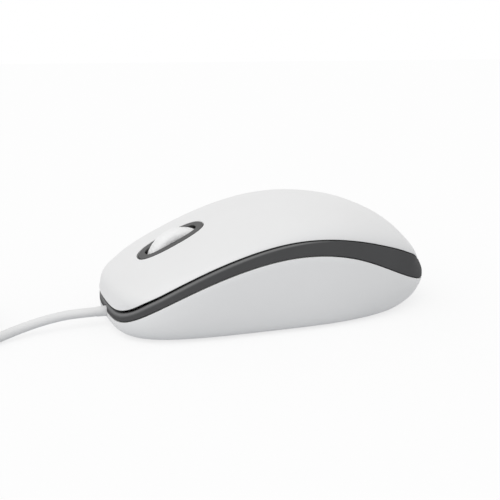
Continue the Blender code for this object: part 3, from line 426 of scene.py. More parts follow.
def build_cover_half(side, hand):
    """Half of the seamless top cover, a closed moulding from the wheel's opening to its lower edge."""
    outline = half_outline(side)
    x, y, _, _ = outline
    edge = EDGE_LINE(y)
    turn = np.arctan2(x, (y - WHEEL_Y) / TILT_COS)
    hole = oval_reach(turn, OPENING_LENGTH / 2, OPENING_WIDTH / 2, OPENING_SQUARENESS)
    lip = on_cover(hole * np.sin(turn), hole * np.cos(turn))
    rim = np.column_stack([x, y])
    away = rim - lip[:, :2]
    away /= np.linalg.norm(away, axis=1)[:, None]
    wall_foot = lip - WALL * UPRIGHT

    rows = [wall_foot]
    for inset, drop in quarter_round(OPENING_ROUND, OPENING_STEPS):
        at = lip[:, :2] + away * inset
        rows.append(np.column_stack([at, cover_height(*at.T) - drop]))
    start = rows[-1][:, :2]
    for u in np.linspace(0, 1, COVER_ROWS)[1:]:
        at = start + (rim - start) * RIM_SHARE * (1 - (1 - u)**RIM_CROWDING)
        rows.append(np.column_stack([at, np.maximum(cover_height(*at.T), edge + EDGE_ROUND)]))
    for inset, rise in quarter_round(EDGE_ROUND):
        rows.append(inset_row(outline, inset, edge + rise))
    inner_rim = inset_row(outline, WALL, edge)[:, :2]
    for share in np.linspace(0, 1, COVER_INNER_ROWS, endpoint=False):
        at = inner_rim + (wall_foot[:, :2] - inner_rim) * share
        rows.append(np.column_stack([at, cover_height(*at.T, WALL)]))

    grid = round_ends(rows)
    grid[:, [0, -1], 0] = side * MIDDLE_GAP
    columns = grid.shape[1]
    faces = flipped(grid_faces(len(rows), columns, wrap_rows=True))
    faces.append(tuple(i * columns for i in range(len(rows)))[::-1])
    faces.append(tuple((i + 1) * columns - 1 for i in range(len(rows))))
    half = mesh_object(f"cover_{hand}", grid.reshape(-1, 3), faces, SHELL)
    level_normals(half)
    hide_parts(f"{hand}_button", "palm_cover")
    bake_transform(half)


def level_normals(obj):
    """Turns the normals along the middle line upright, so that the two halves shade as one."""
    mesh = obj.data
    outward = np.array([c.vector for c in mesh.corner_normals])
    across = np.array([abs(mesh.vertices[loop.vertex_index].co.x) for loop in mesh.loops])
    on_skin = (across < 2 * MIDDLE_GAP) & (np.abs(outward[:, 0]) < FACING_SHARE)
    outward[on_skin, 0] = 0
    outward /= np.linalg.norm(outward, axis=1)[:, None]
    mesh.normals_split_custom_set([tuple(n) for n in outward])


# Cutting tools


def tool_block(low, high, corner):
    """A block with rounded upright edges, to cut with."""
    bm = bmesh.new()
    bmesh.ops.create_cube(bm, size=1.0)
    low, high = Vector(low), Vector(high)
    bmesh.ops.scale(bm, vec=high - low, verts=bm.verts)
    bmesh.ops.translate(bm, vec=(low + high) / 2, verts=bm.verts)
    upright = [e for e in bm.edges if abs(e.verts[0].co.z - e.verts[1].co.z) > (high - low).z / 2]
    bmesh.ops.bevel(bm, geom=upright, offset=corner, segments=10, profile=0.5, affect="EDGES")
    return tool_from(bm)


def tool_rod(start, end, radius):
    """A round rod from one place to another, to cut with."""
    start, end = Vector(start), Vector(end)
    turn = Vector((0, 0, 1)).rotation_difference(end - start).to_matrix().to_4x4()
    bm = bmesh.new()
    bmesh.ops.create_cone(
        bm, cap_ends=True, segments=64, radius1=radius, radius2=radius, depth=(end - start).length,
        matrix=Matrix.Translation((start + end) / 2) @ turn,
    )
    return tool_from(bm)


def tool_from(bm):
    mesh = bpy.data.meshes.new("tool")
    bm.to_mesh(mesh)
    bm.free()
    obj = bpy.data.objects.new("tool", mesh)
    bpy.context.scene.collection.objects.link(obj)
    return obj


def cut(obj, tools, smooth_angle=SMOOTH_ANGLE):
    """Cuts the tools out of a piece for good, and removes them."""
    for tool in tools:
        boolean = obj.modifiers.new("Cut", "BOOLEAN")
        boolean.object = tool
        boolean.solver = "EXACT"
    bpy.context.view_layer.update()
    done = bpy.data.meshes.new_from_object(obj.evaluated_get(bpy.context.evaluated_depsgraph_get()))
    obj.modifiers.clear()
    obj.data = done
    done.shade_smooth()
    done.set_sharp_from_angle(angle=smooth_angle)
    for tool in tools:
        bpy.data.objects.remove(tool)


def inlet_tool():
    """The cord's way through the front of the case and the band, to cut with."""
    return tool_rod((0, INLET_INSIDE - SEAM, CORD_Z), (0, LENGTH, CORD_Z), INLET_RADIUS)


# Case and band


def build_case():
    """The white lower case with its recesses, window, screw hole and cord inlet."""
    outline = plan_outline(AROUND)
    _, y, _, ny = outline
    tuck = SIDE_TUCK * (1 - ny**2) + np.where(ny > 0, FRONT_TUCK, REAR_TUCK) * ny**2
    sill = SILL_LINE(y)
    tall = sill - EDGE_ROUND - BASE_LIFT
    inner_base = BASE_LIFT + WALL

    def flank(turn):
        """Shares of the tuck that is left and of the height that is reached, on the rounded flank."""
        return 1 - sin(turn)**(2 / TUCK_POWER), 1 - cos(turn)**(2 / TUCK_POWER)

    rows = []
    for turn in np.linspace(0, pi / 2, CASE_ROWS):
        inward, upward = flank(turn)
        rows.append(inset_row(outline, tuck * inward, BASE_LIFT + tall * upward))
    for inset, drop in quarter_round(EDGE_ROUND)[1:]:
        rows.append(inset_row(outline, inset, sill - drop))
    for turn in np.linspace(pi / 2, CASE_INNER_START, CASE_INNER_ROWS):
        inward, upward = flank(turn)
        rows.append(inset_row(outline, WALL + tuck * inward, inner_base + (sill - inner_base) * upward))
    faces = grid_faces(len(rows), AROUND, wrap_columns=True) + end_faces(len(rows), AROUND)
    case = mesh_object("case_moulding", round_ends(np.concatenate(rows)), faces, SHELL)

    below, above = -WALL, 3 * WALL
    wide, long = WINDOW_SIZE[0] / 2, WINDOW_SIZE[1] / 2
    collar_start, collar_end = INLET_INSIDE - COLLAR_ROOM, INLET_INSIDE + SEAM
    tools = [
        tool_block((-wide, SENSOR_Y - long, below), (wide, SENSOR_Y + long, above), WINDOW_CORNER),
        tool_rod((0, SCREW_Y, below), (0, SCREW_Y, above), SCREW_HOLE),
        inlet_tool(),
        tool_rod((0, collar_start, CORD_Z), (0, collar_end, CORD_Z), COLLAR_RADIUS + SEAM),
    ]
    for foot in ("front_foot", "rear_foot"):
        low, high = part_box(foot)
        start = (low.x - SEAM, low.y - SEAM, below)
        end = (high.x + SEAM, high.y + SEAM, BASE_LIFT + FOOT_SINK)
        tools.append(tool_block(start, end, (high.y - low.y) / 2 + SEAM - HAIR))
    cut(case, tools)
    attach(case, "housing")
    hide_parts("bottom_case")


def build_band():
    """The grey band between case and cover, with rounded edges, its locating lip and a painted highlight on
    its upper shoulder.
    """
    outline = plan_outline(AROUND)
    y = outline[1]
    sill, edge = SILL_LINE(y), EDGE_LINE(y)
    opening = np.clip((y - HINGE_Y) / (LENGTH / 2 - HINGE_Y), 0, 1)
    top = edge - SEAM - (FRONT_GAP - SEAM) * opening
    low = sill + SEAM
    shelf, inner = WALL + LIP_GAP, WALL + LIP_GAP + BAND_LIP
    foot, ledge = sill - LIP_DEPTH, low + LIP_DEPTH
    shoulder = EDGE_ROUND + (BAND_SHOULDER - EDGE_ROUND) * opening**SHOULDER_GROWTH
    section = [(inset, low + rise) for rise, inset in quarter_round(EDGE_ROUND)]
    for share in np.linspace(0, 1, BAND_ROWS)[1:-1]:
        section.append((0.0, low + EDGE_ROUND + (top - low - EDGE_ROUND - shoulder) * share))
    plain = len(section)
    for inset, drop in quarter_round(shoulder, SHOULDER_STEPS):
        section.append((inset * BAND_SHOULDER_DEPTH, top - drop))
    section += [(WALL, top), (WALL, ledge), (inner, ledge), (inner, foot), (shelf, foot), (shelf, low)]
    rows = [inset_row(outline, inset, z) for inset, z in section]
    faces = grid_faces(len(rows), AROUND, wrap_rows=True, wrap_columns=True)
    band = mesh_object("band_moulding", round_ends(np.concatenate(rows)), faces, BAND)

    # Painted highlight: a lighter tone across the middle of the rounded shoulder, only ahead of the hinge,
    # where the gap above the band opens
    painted_highlight = np.zeros((len(rows), AROUND))
    highlight_profile = np.abs(np.sin(np.linspace(0, pi, SHOULDER_STEPS)))**HIGHLIGHT_SHARPNESS
    painted_highlight[plain:plain + SHOULDER_STEPS] = highlight_profile[:, None] * np.minimum(opening * HIGHLIGHT_ONSET, 1)
    band.data.attributes.new("painted_highlight", "FLOAT", "POINT").data.foreach_set("value", painted_highlight.ravel())
    cut(band, [inlet_tool()])
    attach(band, "housing")
    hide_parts("side_band")


# Wheel


def build_ring():
    """The grey oval trim, flush with the cover, with a slot that clears the wheel."""
    turn = np.linspace(0, 2 * pi, RING_SIDES, endpoint=False)
    outer_length, outer_width = OPENING_LENGTH / 2 - SEAM, OPENING_WIDTH / 2 - SEAM
    hub_drop = WHEEL_RADIUS - WHEEL_RISE
    room = WHEEL_RADIUS + WHEEL_GAP
    slot_width = WHEEL_WIDTH / 2 + WHEEL_GAP

    def ring(half_length, half_width, sink, power):
        reach = oval_reach(turn, half_length, half_width, power)
        return on_cover(reach * np.sin(turn), reach * np.cos(turn), sink)

    def slot(depth):
        """Half the slot's length at a depth, which clears the round wheel."""
        return (room**2 - (hub_drop - depth)**2)**0.5 + SLOT_END_GAP

    def face_ring(share):
        """A ring on the trim's face, part of the way from its outer edge to the slot."""
        power = OPENING_SQUARENESS + (SLOT_SQUARENESS - OPENING_SQUARENESS) * share
        length = outer_length + (slot(RING_RECESS) - outer_length) * share
        width = outer_width + (slot_width - outer_width) * share
        return ring(length, width, RING_RECESS, power)

    rows = [ring(outer_length, outer_width, RING_DEPTH, OPENING_SQUARENESS)]
    for inset, drop in quarter_round(RING_ROUND):
        rows.append(ring(outer_length - inset, outer_width - inset, RING_RECESS + drop, OPENING_SQUARENESS))
    for share in np.linspace(*RING_FACE_SHARES, RING_FACE_ROWS):
        rows.append(face_ring(share))
    for inset, drop in quarter_round(RING_ROUND)[::-1]:
        sink = RING_RECESS + drop
        rows.append(ring(slot(sink) + inset, slot_width + inset, sink, SLOT_SQUARENESS))
    for share in np.linspace(0, 1, SLOT_ROWS)[1:]:
        depth = RING_RECESS + RING_ROUND + (RING_DEPTH - RING_RECESS - RING_ROUND) * share
        power = SLOT_SQUARENESS + (SLOT_FOOT_SQUARENESS - SLOT_SQUARENESS) * share
        rows.append(ring(min(slot(depth), outer_length - SEAM), slot_width, depth, power))
    faces = flipped(grid_faces(len(rows), RING_SIDES, wrap_rows=True, wrap_columns=True))
    trim = mesh_object("wheel_trim", np.concatenate(rows), faces, TRIM)
    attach(trim, "housing")
    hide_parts("wheel_surround")


def build_tyre():
    """The white wheel's crowned, finely ribbed rim, a profile turned about the axle."""
    half, bed = WHEEL_WIDTH / 2, WHEEL_RADIUS - TYRE_DEPTH
    profile = []
    for t in np.linspace(-1, 1, TYRE_ROWS):
        drop = TYRE_CROWN * abs(t)**TYRE_CROWN_POWER
        profile.append((WHEEL_RADIUS - TYRE_RIB_DEPTH - drop, half * t, 1 - abs(t)**TYRE_RIB_FADE))
    profile += [(bed, half, 0), (bed, -half, 0)]

    sides = TYRE_RIBS * TYRE_RIB_SIDES
    turn = np.linspace(0, 2 * pi, sides, endpoint=False)
    ribs = np.clip(1 + (np.cos(turn * TYRE_RIBS) - 1) * TYRE_RIB_STEEPNESS, -1, 1)
    rows = []
    for radius, along, rib_share in profile:
        r = radius + TYRE_RIB_DEPTH * ribs * rib_share
        rows.append(np.column_stack([along + 0 * turn, AXLE_Y + r * np.sin(turn), AXLE_Z - r * np.cos(turn)]))
    faces = grid_faces(len(rows), sides, wrap_rows=True, wrap_columns=True)
    tyre = mesh_object("scroll_tyre", np.concatenate(rows), faces, RUBBER)
    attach(tyre, "wheel")
    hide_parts("wheel_tyre")


# Cord


def path_run(points):
    """The length of a path up to each of its points."""
    return np.concatenate([[0], np.cumsum(np.linalg.norm(np.diff(points, axis=0), axis=1))])


def smooth_path(route):
    """Evenly spaced points on a smooth curve through a route's points."""
    points = np.array(route, float)
    run = path_run(points)
    slope = np.gradient(points, run, axis=0)
    slope[0] = (points[1] - points[0]) / (run[1] - run[0])
    slope[-1] = (points[-1] - points[-2]) / (run[-1] - run[-2])
    fine = []
    for i in range(len(points) - 1):
        span = run[i + 1] - run[i]
        for s in np.linspace(0, 1, PATH_STEPS, endpoint=False):
            leave = (1 + 2 * s) * (1 - s)**2 * points[i] + s * (1 - s)**2 * span * slope[i]
            arrive = s * s * (3 - 2 * s) * points[i + 1] + s * s * (s - 1) * span * slope[i + 1]
            fine.append(leave + arrive)
    fine = np.array([*fine, points[-1]])
    run = path_run(fine)
    at = np.linspace(0, run[-1], int(run[-1] / PATH_SPACING) + 1)
    return np.stack([np.interp(at, run, fine[:, k]) for k in range(3)], axis=1)


def coil_points():
    """Loops that spiral in and out, and climb a layer in the half turn of each reversal."""
    pitch = 2 * CORD_RADIUS + COIL_GAP
    per_layer = COIL_TURNS / COIL_LAYERS
    half_band = pitch * per_layer / 2
    floor = CORD_RADIUS + CORD_LIFT
    points = []
    for i in range(COIL_TURNS * LOOP_POINTS + 1):
        turns = i / LOOP_POINTS
        layer = min(int(turns / per_layer), COIL_LAYERS - 1)
        part = turns / per_layer - layer
        inward = part if layer % 2 == 0 else 1 - part
        radius = COIL_RADIUS + half_band * (1 - 2 * inward)
        climb = sum(np.clip((turns - k * per_layer) / CLIMB_TURNS + 0.5, 0, 1) for k in range(1, COIL_LAYERS))
        angle = pi - 2 * pi * turns
        points.append((COIL_X + radius * cos(angle), COIL_Y + radius * sin(angle), floor + pitch * climb))
    return np.array(points)


def build_cord(fittings):
    """The cord from its strain relief over the desk into the tied coil and on to the plug."""
    coil = coil_points()
    low, high = coil[0], coil[-1]
    start = LENGTH / 2 + RELIEF_REACH - SEAM
    near = 2 * CORD_RADIUS
    span, aside, drop = low[1] - start, low[0], CORD_Z - low[2]
    route = [(0, start, CORD_Z), (0, start + near, CORD_Z)]
    for along, across, down in RUN_BENDS:
        route.append((aside * across, start + span * along, CORD_Z - drop * down))
    route += [(aside, low[1] - near, low[2]), tuple(low)]

    plug_x, plug_y, plug_z = high[0] + TAIL_SHIFT, high[1] + TAIL_LENGTH, PLUG_THICK / 2
    drop = high[2] - plug_z
    tail = [tuple(high), (high[0], high[1] + near, high[2])]
    for along, across, down in TAIL_BENDS:
        tail.append((high[0] + TAIL_SHIFT * across, high[1] + TAIL_LENGTH * along, high[2] - drop * down))
    tail += [(plug_x, plug_y - near, plug_z), (plug_x, plug_y, plug_z)]

    points = np.concatenate([smooth_path(route)[:-1], coil, smooth_path(tail)[1:]])
    curve = bpy.data.curves.new("cord", "CURVE")
    curve.dimensions = "3D"
    curve.bevel_depth = CORD_RADIUS
    curve.bevel_resolution = 6
    curve.use_fill_caps = True
    spline = curve.splines.new("POLY")
    spline.points.add(len(points) - 1)
    for point, place in zip(spline.points, points):
        point.co = (*place, 1.0)
    curve.materials.append(CORD)
    cord = bpy.data.objects.new("cord", curve)
    bpy.context.scene.collection.objects.link(cord)
    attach(cord, "housing")
    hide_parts("cord_run", "cord_coil", "cord_tail")


def sweep(name, paths, span, half, material):
    """Flat strips with rounded edges along paths of (x, z, outward x, outward z), across a span of Y."""
    edge = np.linspace(-pi / 2, pi / 2, STRAP_EDGE_STEPS)
    low, high = span
    outline = [(high - half + half * cos(t), half * sin(t)) for t in edge]
    outline += [(low + half - half * cos(t), -half * sin(t)) for t in edge]
    count = len(outline)
    vertices, faces = [], []
    for path in paths:
        base = len(vertices)
        for x, z, nx, nz in path:
            vertices += [(x + nx * out, y, z + nz * out) for y, out in outline]
        strip = grid_faces(len(path), count, wrap_columns=True) + end_faces(len(path), count)
        faces += [tuple(base + i for i in face) for face in strip]
    return mesh_object(name, vertices, faces, material)


def build_strap():
    """The strap round the coil, with bends that follow the outer turns and a flap over its top."""
    low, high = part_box("coil_tie")
    half = TIE_THICK / 2
    bend = CORD_RADIUS + TIE_GAP + half
    left, right, top = low.x + half, high.x - half, high.z - half
    quarter = np.linspace(0, pi / 2, STRAP_BEND_ROWS)[1:]
    upright = np.linspace(0, 1, STRAP_SIDE_ROWS)
    middle = []
    for s in upright:
        middle.append((left, low.z + s * (top - bend - low.z), -1, 0))
    for t in quarter:
        middle.append((left + bend * (1 - cos(t)), top - bend * (1 - sin(t)), -cos(t), sin(t)))
    for s in np.linspace(0, 1, STRAP_TOP_ROWS)[1:]:
        middle.append((left + bend + s * (right - left - 2 * bend), top, 0, 1))
    for t in quarter:
        middle.append((right - bend * (1 - sin(t)), top - bend * (1 - cos(t)), sin(t), cos(t)))
    for s in upright[1:]:
        middle.append((right, top - bend - s * (top - bend - low.z), 1, 0))
    flap = []
    for s in np.linspace(0, 1, FLAP_ROWS):
        rise = TIE_THICK * min(1.0, s / FLAP_RISE_SHARE)
        flap.append((left + bend + TIE_FLAP * (1 - s), top + rise * (1 - s * FLAP_FALL), 0, 1))
    strap = sweep("coil_strap", [middle, flap], (low.y, high.y), half, STRAP)
    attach(strap, "housing")
    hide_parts("coil_tie")
    return strap


# Plug


def middle_of(node):
    """A node's lowest and highest corner, its middle in X and Z, and half its width and height."""
    low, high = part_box(node)
    x, z = (low.x + high.x) / 2, (low.z + high.z) / 2
    return low, high, x, z, (high.x - low.x) / 2, (high.z - low.z) / 2


def loft(name, x, z, sections, material, sides=LOFT_SIDES):
    """A closed skin over sections of (y, half width, half height, squareness) along a line in Y."""
    turn = np.linspace(0, 2 * pi, sides, endpoint=False)
    cosine, sine = np.cos(turn), np.sin(turn)
    rows = []
    for y, half_width, half_height, squareness in sections:
        across = half_width * np.sign(cosine) * np.abs(cosine)**(2 / squareness)
        up = half_height * np.sign(sine) * np.abs(sine)**(2 / squareness)
        rows.append(np.column_stack([x + across, y + 0 * turn, z + up]))
    faces = grid_faces(len(rows), sides, wrap_columns=True) + end_faces(len(rows), sides)
    return mesh_object(name, np.concatenate(rows), flipped(faces), material)


def build_plug_grip():
    """The overmoulded grip with ribbed finger dips, its ribbed boot and the socket of its metal shell."""
    low, high, x, z, half_width, half_height = middle_of("plug_body")
    shoulder, neck = high.y - PLUG_LENGTH, BOOT_NECK_SHARE * half_height
    sections = []
    for s in np.linspace(0, 1, BOOT_ROWS):
        groove = max(0.0, sin(2 * pi * BOOT_RIBS * s - pi / 2)) * (1 - s)**BOOT_GROOVE_FADE
        tip = EDGE_ROUND * (1 - min(s / BOOT_TIP_SHARE, 1))
        radius = BOOT_RADIUS + (neck - BOOT_RADIUS) * s - BOOT_GROOVE * groove - tip
        sections.append((low.y + s * (shoulder - low.y), radius, radius, ROUND_SQUARENESS))
    for t in np.linspace(0, pi / 2, PLUG_CORNER_ROWS)[1:]:
        width, height = neck + (half_width - neck) * sin(t), neck + (half_height - neck) * sin(t)
        squareness = ROUND_SQUARENESS + (PLUG_SQUARENESS - ROUND_SQUARENESS) * sin(t)
        sections.append((shoulder + PLUG_CORNER * (1 - cos(t)), width, height, squareness))
    start = shoulder + PLUG_CORNER
    for s in np.linspace(0, 1, GRIP_ROWS)[1:]:
        ribs = 0.5 - 0.5 * cos(2 * pi * GRIP_RIBS * s)
        dip = (GRIP_DIP - GRIP_RIB_DEPTH * ribs) * sin(pi * s)**2
        y = start + s * (high.y - EDGE_ROUND - start)
        sections.append((y, half_width - dip, half_height, PLUG_SQUARENESS))
    for inset, back in quarter_round(EDGE_ROUND)[1:]:
        sections.append((high.y - back, half_width - inset, half_height - inset, PLUG_SQUARENESS))
    grip = loft("plug_grip", x, z, sections, CORD)
    inner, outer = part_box("plug_shell")
    gap = Vector((SHELL_GAP, SHELL_GAP, SHELL_GAP))
    cut(grip, [tool_block(inner - gap, outer + gap, SHELL_GAP)])
    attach(grip, "housing")
    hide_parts("plug_body")
    return grip


def build_plug_shell():
    """The folded metal shell, with rounded edges and its four latch windows."""
    low, high, x, z, half_width, half_height = middle_of("plug_shell")
    corner = np.linspace(0, pi / 2, SHELL_STEPS)

    def ring(inset, y):
        """A rounded rectangle in the upright plane at a place along the plug."""
        radius = SHELL_CORNER - min(inset, SHELL_CORNER / 2)
        wide, tall = half_width - inset - radius, half_height - inset - radius
        points = []
        for quarter, (sx, sz) in enumerate(((1, 1), (-1, 1), (-1, -1), (1, -1))):
            for t in corner + quarter * pi / 2:
                points.append((x + sx * wide + radius * cos(t), y, z + sz * tall + radius * sin(t)))
        return np.array(points)

    lip = SHELL_WALL / 2
    rows = [ring(0, low.y), ring(0, high.y - SHELL_WALL)]
    for t in np.linspace(0, pi, SHELL_STEPS)[1:]:
        rows.append(ring(lip * (1 - cos(t)), high.y - SHELL_WALL + lip * sin(t)))
    rows.append(ring(SHELL_WALL, low.y))
    faces = flipped(grid_faces(len(rows), len(rows[0]), wrap_rows=True, wrap_columns=True))
    shell = mesh_object("plug_sleeve", np.concatenate(rows), faces, STEEL)

    wide, long, deep = SHELL_WINDOW[0] / 2, SHELL_WINDOW[1] / 2, 2 * SHELL_WALL
    y = high.y - SHELL_WINDOW_BACK
    tools = []
    for side in (-1, 1):
        at = x + side * SHELL_WINDOW_APART / 2
        for height in (low.z, high.z):
            start, end = (at - wide, y - long, height - deep), (at + wide, y + long, height + deep)
            tools.append(tool_block(start, end, SHELL_WALL))
    cut(shell, tools, FOLD_ANGLE)
    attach(shell, "housing")
    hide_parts("plug_shell")
    return shell


def build_plug_tongue():
    """The contact carrier inside the shell with a bevelled tip, and its four contacts."""
    low, high, x, z, half_width, half_height = middle_of("plug_tongue")
    bevel = half_height / 2
    sections = []
    for y in np.linspace(low.y, high.y - bevel, TONGUE_ROWS):
        sections.append((y, half_width, half_height, TONGUE_SQUARENESS))
    for s in np.linspace(0, 1, EDGE_STEPS)[1:]:
        inset = bevel * s**2
        y = high.y - bevel * (1 - s)
        sections.append((y, half_width - inset, half_height - inset, TONGUE_SQUARENESS))
    tongue = loft("plug_insert", x, z, sections, BLACK, TONGUE_SIDES)
    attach(tongue, "housing")
    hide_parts("plug_tongue")

    columns = len(CONTACT_SECTION)
    bar = grid_faces(CONTACT_ROWS, columns, wrap_columns=True) + end_faces(CONTACT_ROWS, columns)
    front = high.y - 2 * bevel
    vertices, faces = [], []
    for place in CONTACT_PLACES:
        base = len(vertices)
        for s in np.linspace(0, 1, CONTACT_ROWS):
            y = front - CONTACT_LENGTH * (1 - s)
            tip = CONTACT_THICK * max(0.0, (s - 1) / CONTACT_TIP_SHARE + 1)**2
            for across, up in CONTACT_SECTION:
                height = high.z + CONTACT_THICK * up - tip
                vertices.append((x + place + across * CONTACT_WIDTH / 2, y, height))
        faces += [tuple(base + i for i in face) for face in bar]
    contacts = mesh_object("plug_contacts", vertices, faces, GOLD)
    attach(contacts, "housing")
    return tongue, contacts


# Materials


def finish(
    name, colour, roughness, grain=GRAIN_SCALE, bump=0.02, mottle=0.02, metallic=0.0, specular=0.5, depth=0.0,
    clear=0.0, painted_highlight=None,
):
    """A moulded finish: slight cloudiness in its colour, uneven gloss, a fine grain and, where a mesh
    attribute asks for it, a painted highlight in a lighter colour.
    """
    material = bpy.data.materials.new(name)
    material.use_nodes = True
    nodes, links = material.node_tree.nodes, material.node_tree.links
    shader = nodes["Principled BSDF"]
    shader.inputs["Metallic"].default_value = metallic
    shader.inputs["Specular IOR Level"].default_value = specular
    shader.inputs["Transmission Weight"].default_value = clear
    if depth:
        shader.inputs["Subsurface Weight"].default_value = 1.0
        shader.inputs["Subsurface Radius"].default_value = (1, 1, 1)
        shader.inputs["Subsurface Scale"].default_value = depth
    place = nodes.new("ShaderNodeTexCoord")

    cloud = nodes.new("ShaderNodeTexNoise")
    cloud.inputs["Scale"].default_value = CLOUD_SCALE
    cloud.inputs["Detail"].default_value = CLOUD_DETAIL
    links.new(place.outputs["Object"], cloud.inputs["Vector"])
    tint = nodes.new("ShaderNodeValToRGB")
    for stop, shade, position in zip(tint.color_ramp.elements, (1 - mottle, 1 + mottle), CLOUD_STOPS):
        stop.color = (*(min(c * shade, 1.0) for c in colour), 1.0)
        stop.position = position
    links.new(cloud.outputs["Fac"], tint.inputs["Fac"])
    links.new(tint.outputs["Color"], shader.inputs["Base Color"])
    # A lighter base colour mixed in by a mesh attribute: a painted highlight
    if painted_highlight:
        highlight_attribute = nodes.new("ShaderNodeAttribute")
        highlight_attribute.attribute_name = "painted_highlight"
        blend = nodes.new("ShaderNodeMix")
        blend.data_type = "RGBA"
        blend.inputs["B"].default_value = (*painted_highlight, 1.0)
        links.new(highlight_attribute.outputs["Fac"], blend.inputs["Factor"])
        links.new(tint.outputs["Color"], blend.inputs["A"])
        links.new(blend.outputs["Result"], shader.inputs["Base Color"])

    speck = nodes.new("ShaderNodeTexNoise")
    speck.inputs["Scale"].default_value = grain
    speck.inputs["Detail"].default_value = GRAIN_DETAIL
    links.new(place.outputs["Object"], speck.inputs["Vector"])
    gloss = nodes.new("ShaderNodeMapRange")
    gloss.inputs["To Min"].default_value = roughness - GLOSS_SPREAD
    gloss.inputs["To Max"].default_value = roughness + GLOSS_SPREAD
    links.new(speck.outputs["Fac"], gloss.inputs["Value"])
    links.new(gloss.outputs["Result"], shader.inputs["Roughness"])
    relief = nodes.new("ShaderNodeBump")
    relief.inputs["Strength"].default_value = bump
    relief.inputs["Distance"].default_value = GRAIN_HEIGHT
    links.new(speck.outputs["Fac"], relief.inputs["Height"])
    links.new(relief.outputs["Normal"], shader.inputs["Normal"])
    return material


# Stage, light and camera


def seen_mix(nodes, links, hidden, shown):
    """One shader as light meets it, and another as the camera or a clear or glossy surface shows it."""
    path = nodes.new("ShaderNodeLightPath")
    total = path.outputs["Is Camera Ray"]
    for ray in ("Is Glossy Ray", "Is Transmission Ray"):
        either = nodes.new("ShaderNodeMath")
        either.operation = "MAXIMUM"
        links.new(total, either.inputs[0])
        links.new(path.outputs[ray], either.inputs[1])
        total = either.outputs[0]
    mix = nodes.new("ShaderNodeMixShader")
    links.new(total, mix.inputs["Fac"])
    links.new(hidden, mix.inputs[1])
    links.new(shown, mix.inputs[2])
    return mix.outputs["Shader"]


def build_stage():
    """A pale floor, which shows nearly white and keeps the shadows."""
    mesh = bpy.data.meshes.new("floor")
    corners = [(x * FLOOR_HALF, y * FLOOR_HALF, 0) for x, y in ((-1, -1), (1, -1), (1, 1), (-1, 1))]
    mesh.from_pydata(corners, [], [(0, 1, 2, 3)])
    floor = bpy.data.objects.new("floor", mesh)
    floor.location.z = -FLOOR_DROP
    bpy.context.scene.collection.objects.link(floor)
    material = bpy.data.materials.new("pale_floor")
    material.use_nodes = True
    nodes, links = material.node_tree.nodes, material.node_tree.links
    shader = nodes["Principled BSDF"]
    shader.inputs["Base Color"].default_value = (*FLOOR_COLOUR, 1)
    shader.inputs["Roughness"].default_value = FLOOR_ROUGHNESS
    shader.inputs["Specular IOR Level"].default_value = 0.0
    white = nodes.new("ShaderNodeBsdfDiffuse")
    white.inputs["Color"].default_value = (1, 1, 1, 1)
    glow = nodes.new("ShaderNodeEmission")
    glow.inputs["Strength"].default_value = 1.0
    paper = nodes.new("ShaderNodeMixShader")
    paper.inputs["Fac"].default_value = PAPER_GLOW
    links.new(white.outputs["BSDF"], paper.inputs[1])
    links.new(glow.outputs["Emission"], paper.inputs[2])
    surface = seen_mix(nodes, links, shader.outputs["BSDF"], paper.outputs["Shader"])
    links.new(surface, nodes["Material Output"].inputs["Surface"])
    mesh.materials.append(material)


def build_light():
    """An even white sky, which shows as a white backdrop, and a wide soft key light."""
    world = bpy.data.worlds.new("studio")
    world.use_nodes = True
    nodes, links = world.node_tree.nodes, world.node_tree.links
    sky = nodes["Background"]
    sky.inputs["Color"].default_value = (1, 1, 1, 1)
    sky.inputs["Strength"].default_value = SKY_STRENGTH
    backdrop = nodes.new("ShaderNodeBackground")
    backdrop.inputs["Color"].default_value = (1, 1, 1, 1)
    backdrop.inputs["Strength"].default_value = 1.0
    surface = seen_mix(nodes, links, sky.outputs["Background"], backdrop.outputs["Background"])
    links.new(surface, nodes["World Output"].inputs["Surface"])
    bpy.context.scene.world = world
    data = bpy.data.lights.new("key", "SUN")
    data.energy = KEY_STRENGTH
    data.angle = KEY_SPREAD
    key = bpy.data.objects.new("key", data)
    key.rotation_mode = "QUATERNION"
    key.rotation_quaternion = Vector(KEY_FROM).to_track_quat("Z", "Y")
    bpy.context.scene.collection.objects.link(key)


def build_camera():
    """The photograph's camera, turned about its aim and shifted in its own plane."""
    back = Vector((sin(AZIMUTH) * cos(ELEVATION), -cos(AZIMUTH) * cos(ELEVATION), sin(ELEVATION)))
    right = Vector((cos(AZIMUTH), sin(AZIMUTH), 0))
    up = back.cross(right)
    data = bpy.data.cameras.new("camera")
    data.sensor_width = CAMERA_SENSOR
    data.lens = FOCAL_PIXELS / FRAME_PIXELS * CAMERA_SENSOR
    data.clip_start = CLIP_START
    camera = bpy.data.objects.new("camera", data)
    turn = Matrix((right, up, back)).transposed().to_4x4()
    camera.matrix_world = Matrix.Translation(AIM + DISTANCE * back - ASIDE * right - LIFT * up) @ turn
    bpy.context.scene.collection.objects.link(camera)
    bpy.context.scene.camera = camera


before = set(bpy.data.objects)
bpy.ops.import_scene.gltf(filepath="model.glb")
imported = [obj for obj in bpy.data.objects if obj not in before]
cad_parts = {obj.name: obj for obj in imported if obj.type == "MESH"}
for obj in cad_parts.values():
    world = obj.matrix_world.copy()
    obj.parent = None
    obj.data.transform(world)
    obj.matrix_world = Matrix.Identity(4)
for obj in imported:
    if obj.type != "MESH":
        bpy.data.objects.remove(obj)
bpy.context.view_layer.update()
bpy.context.scene.view_settings.view_transform = "Standard"

EDGE_LINE = line_through(COVER_EDGE)
SILL_LINE = line_through(BAND_SILL)
CROWN_LINE = line_through(CROWN)
REACH = reach_table()

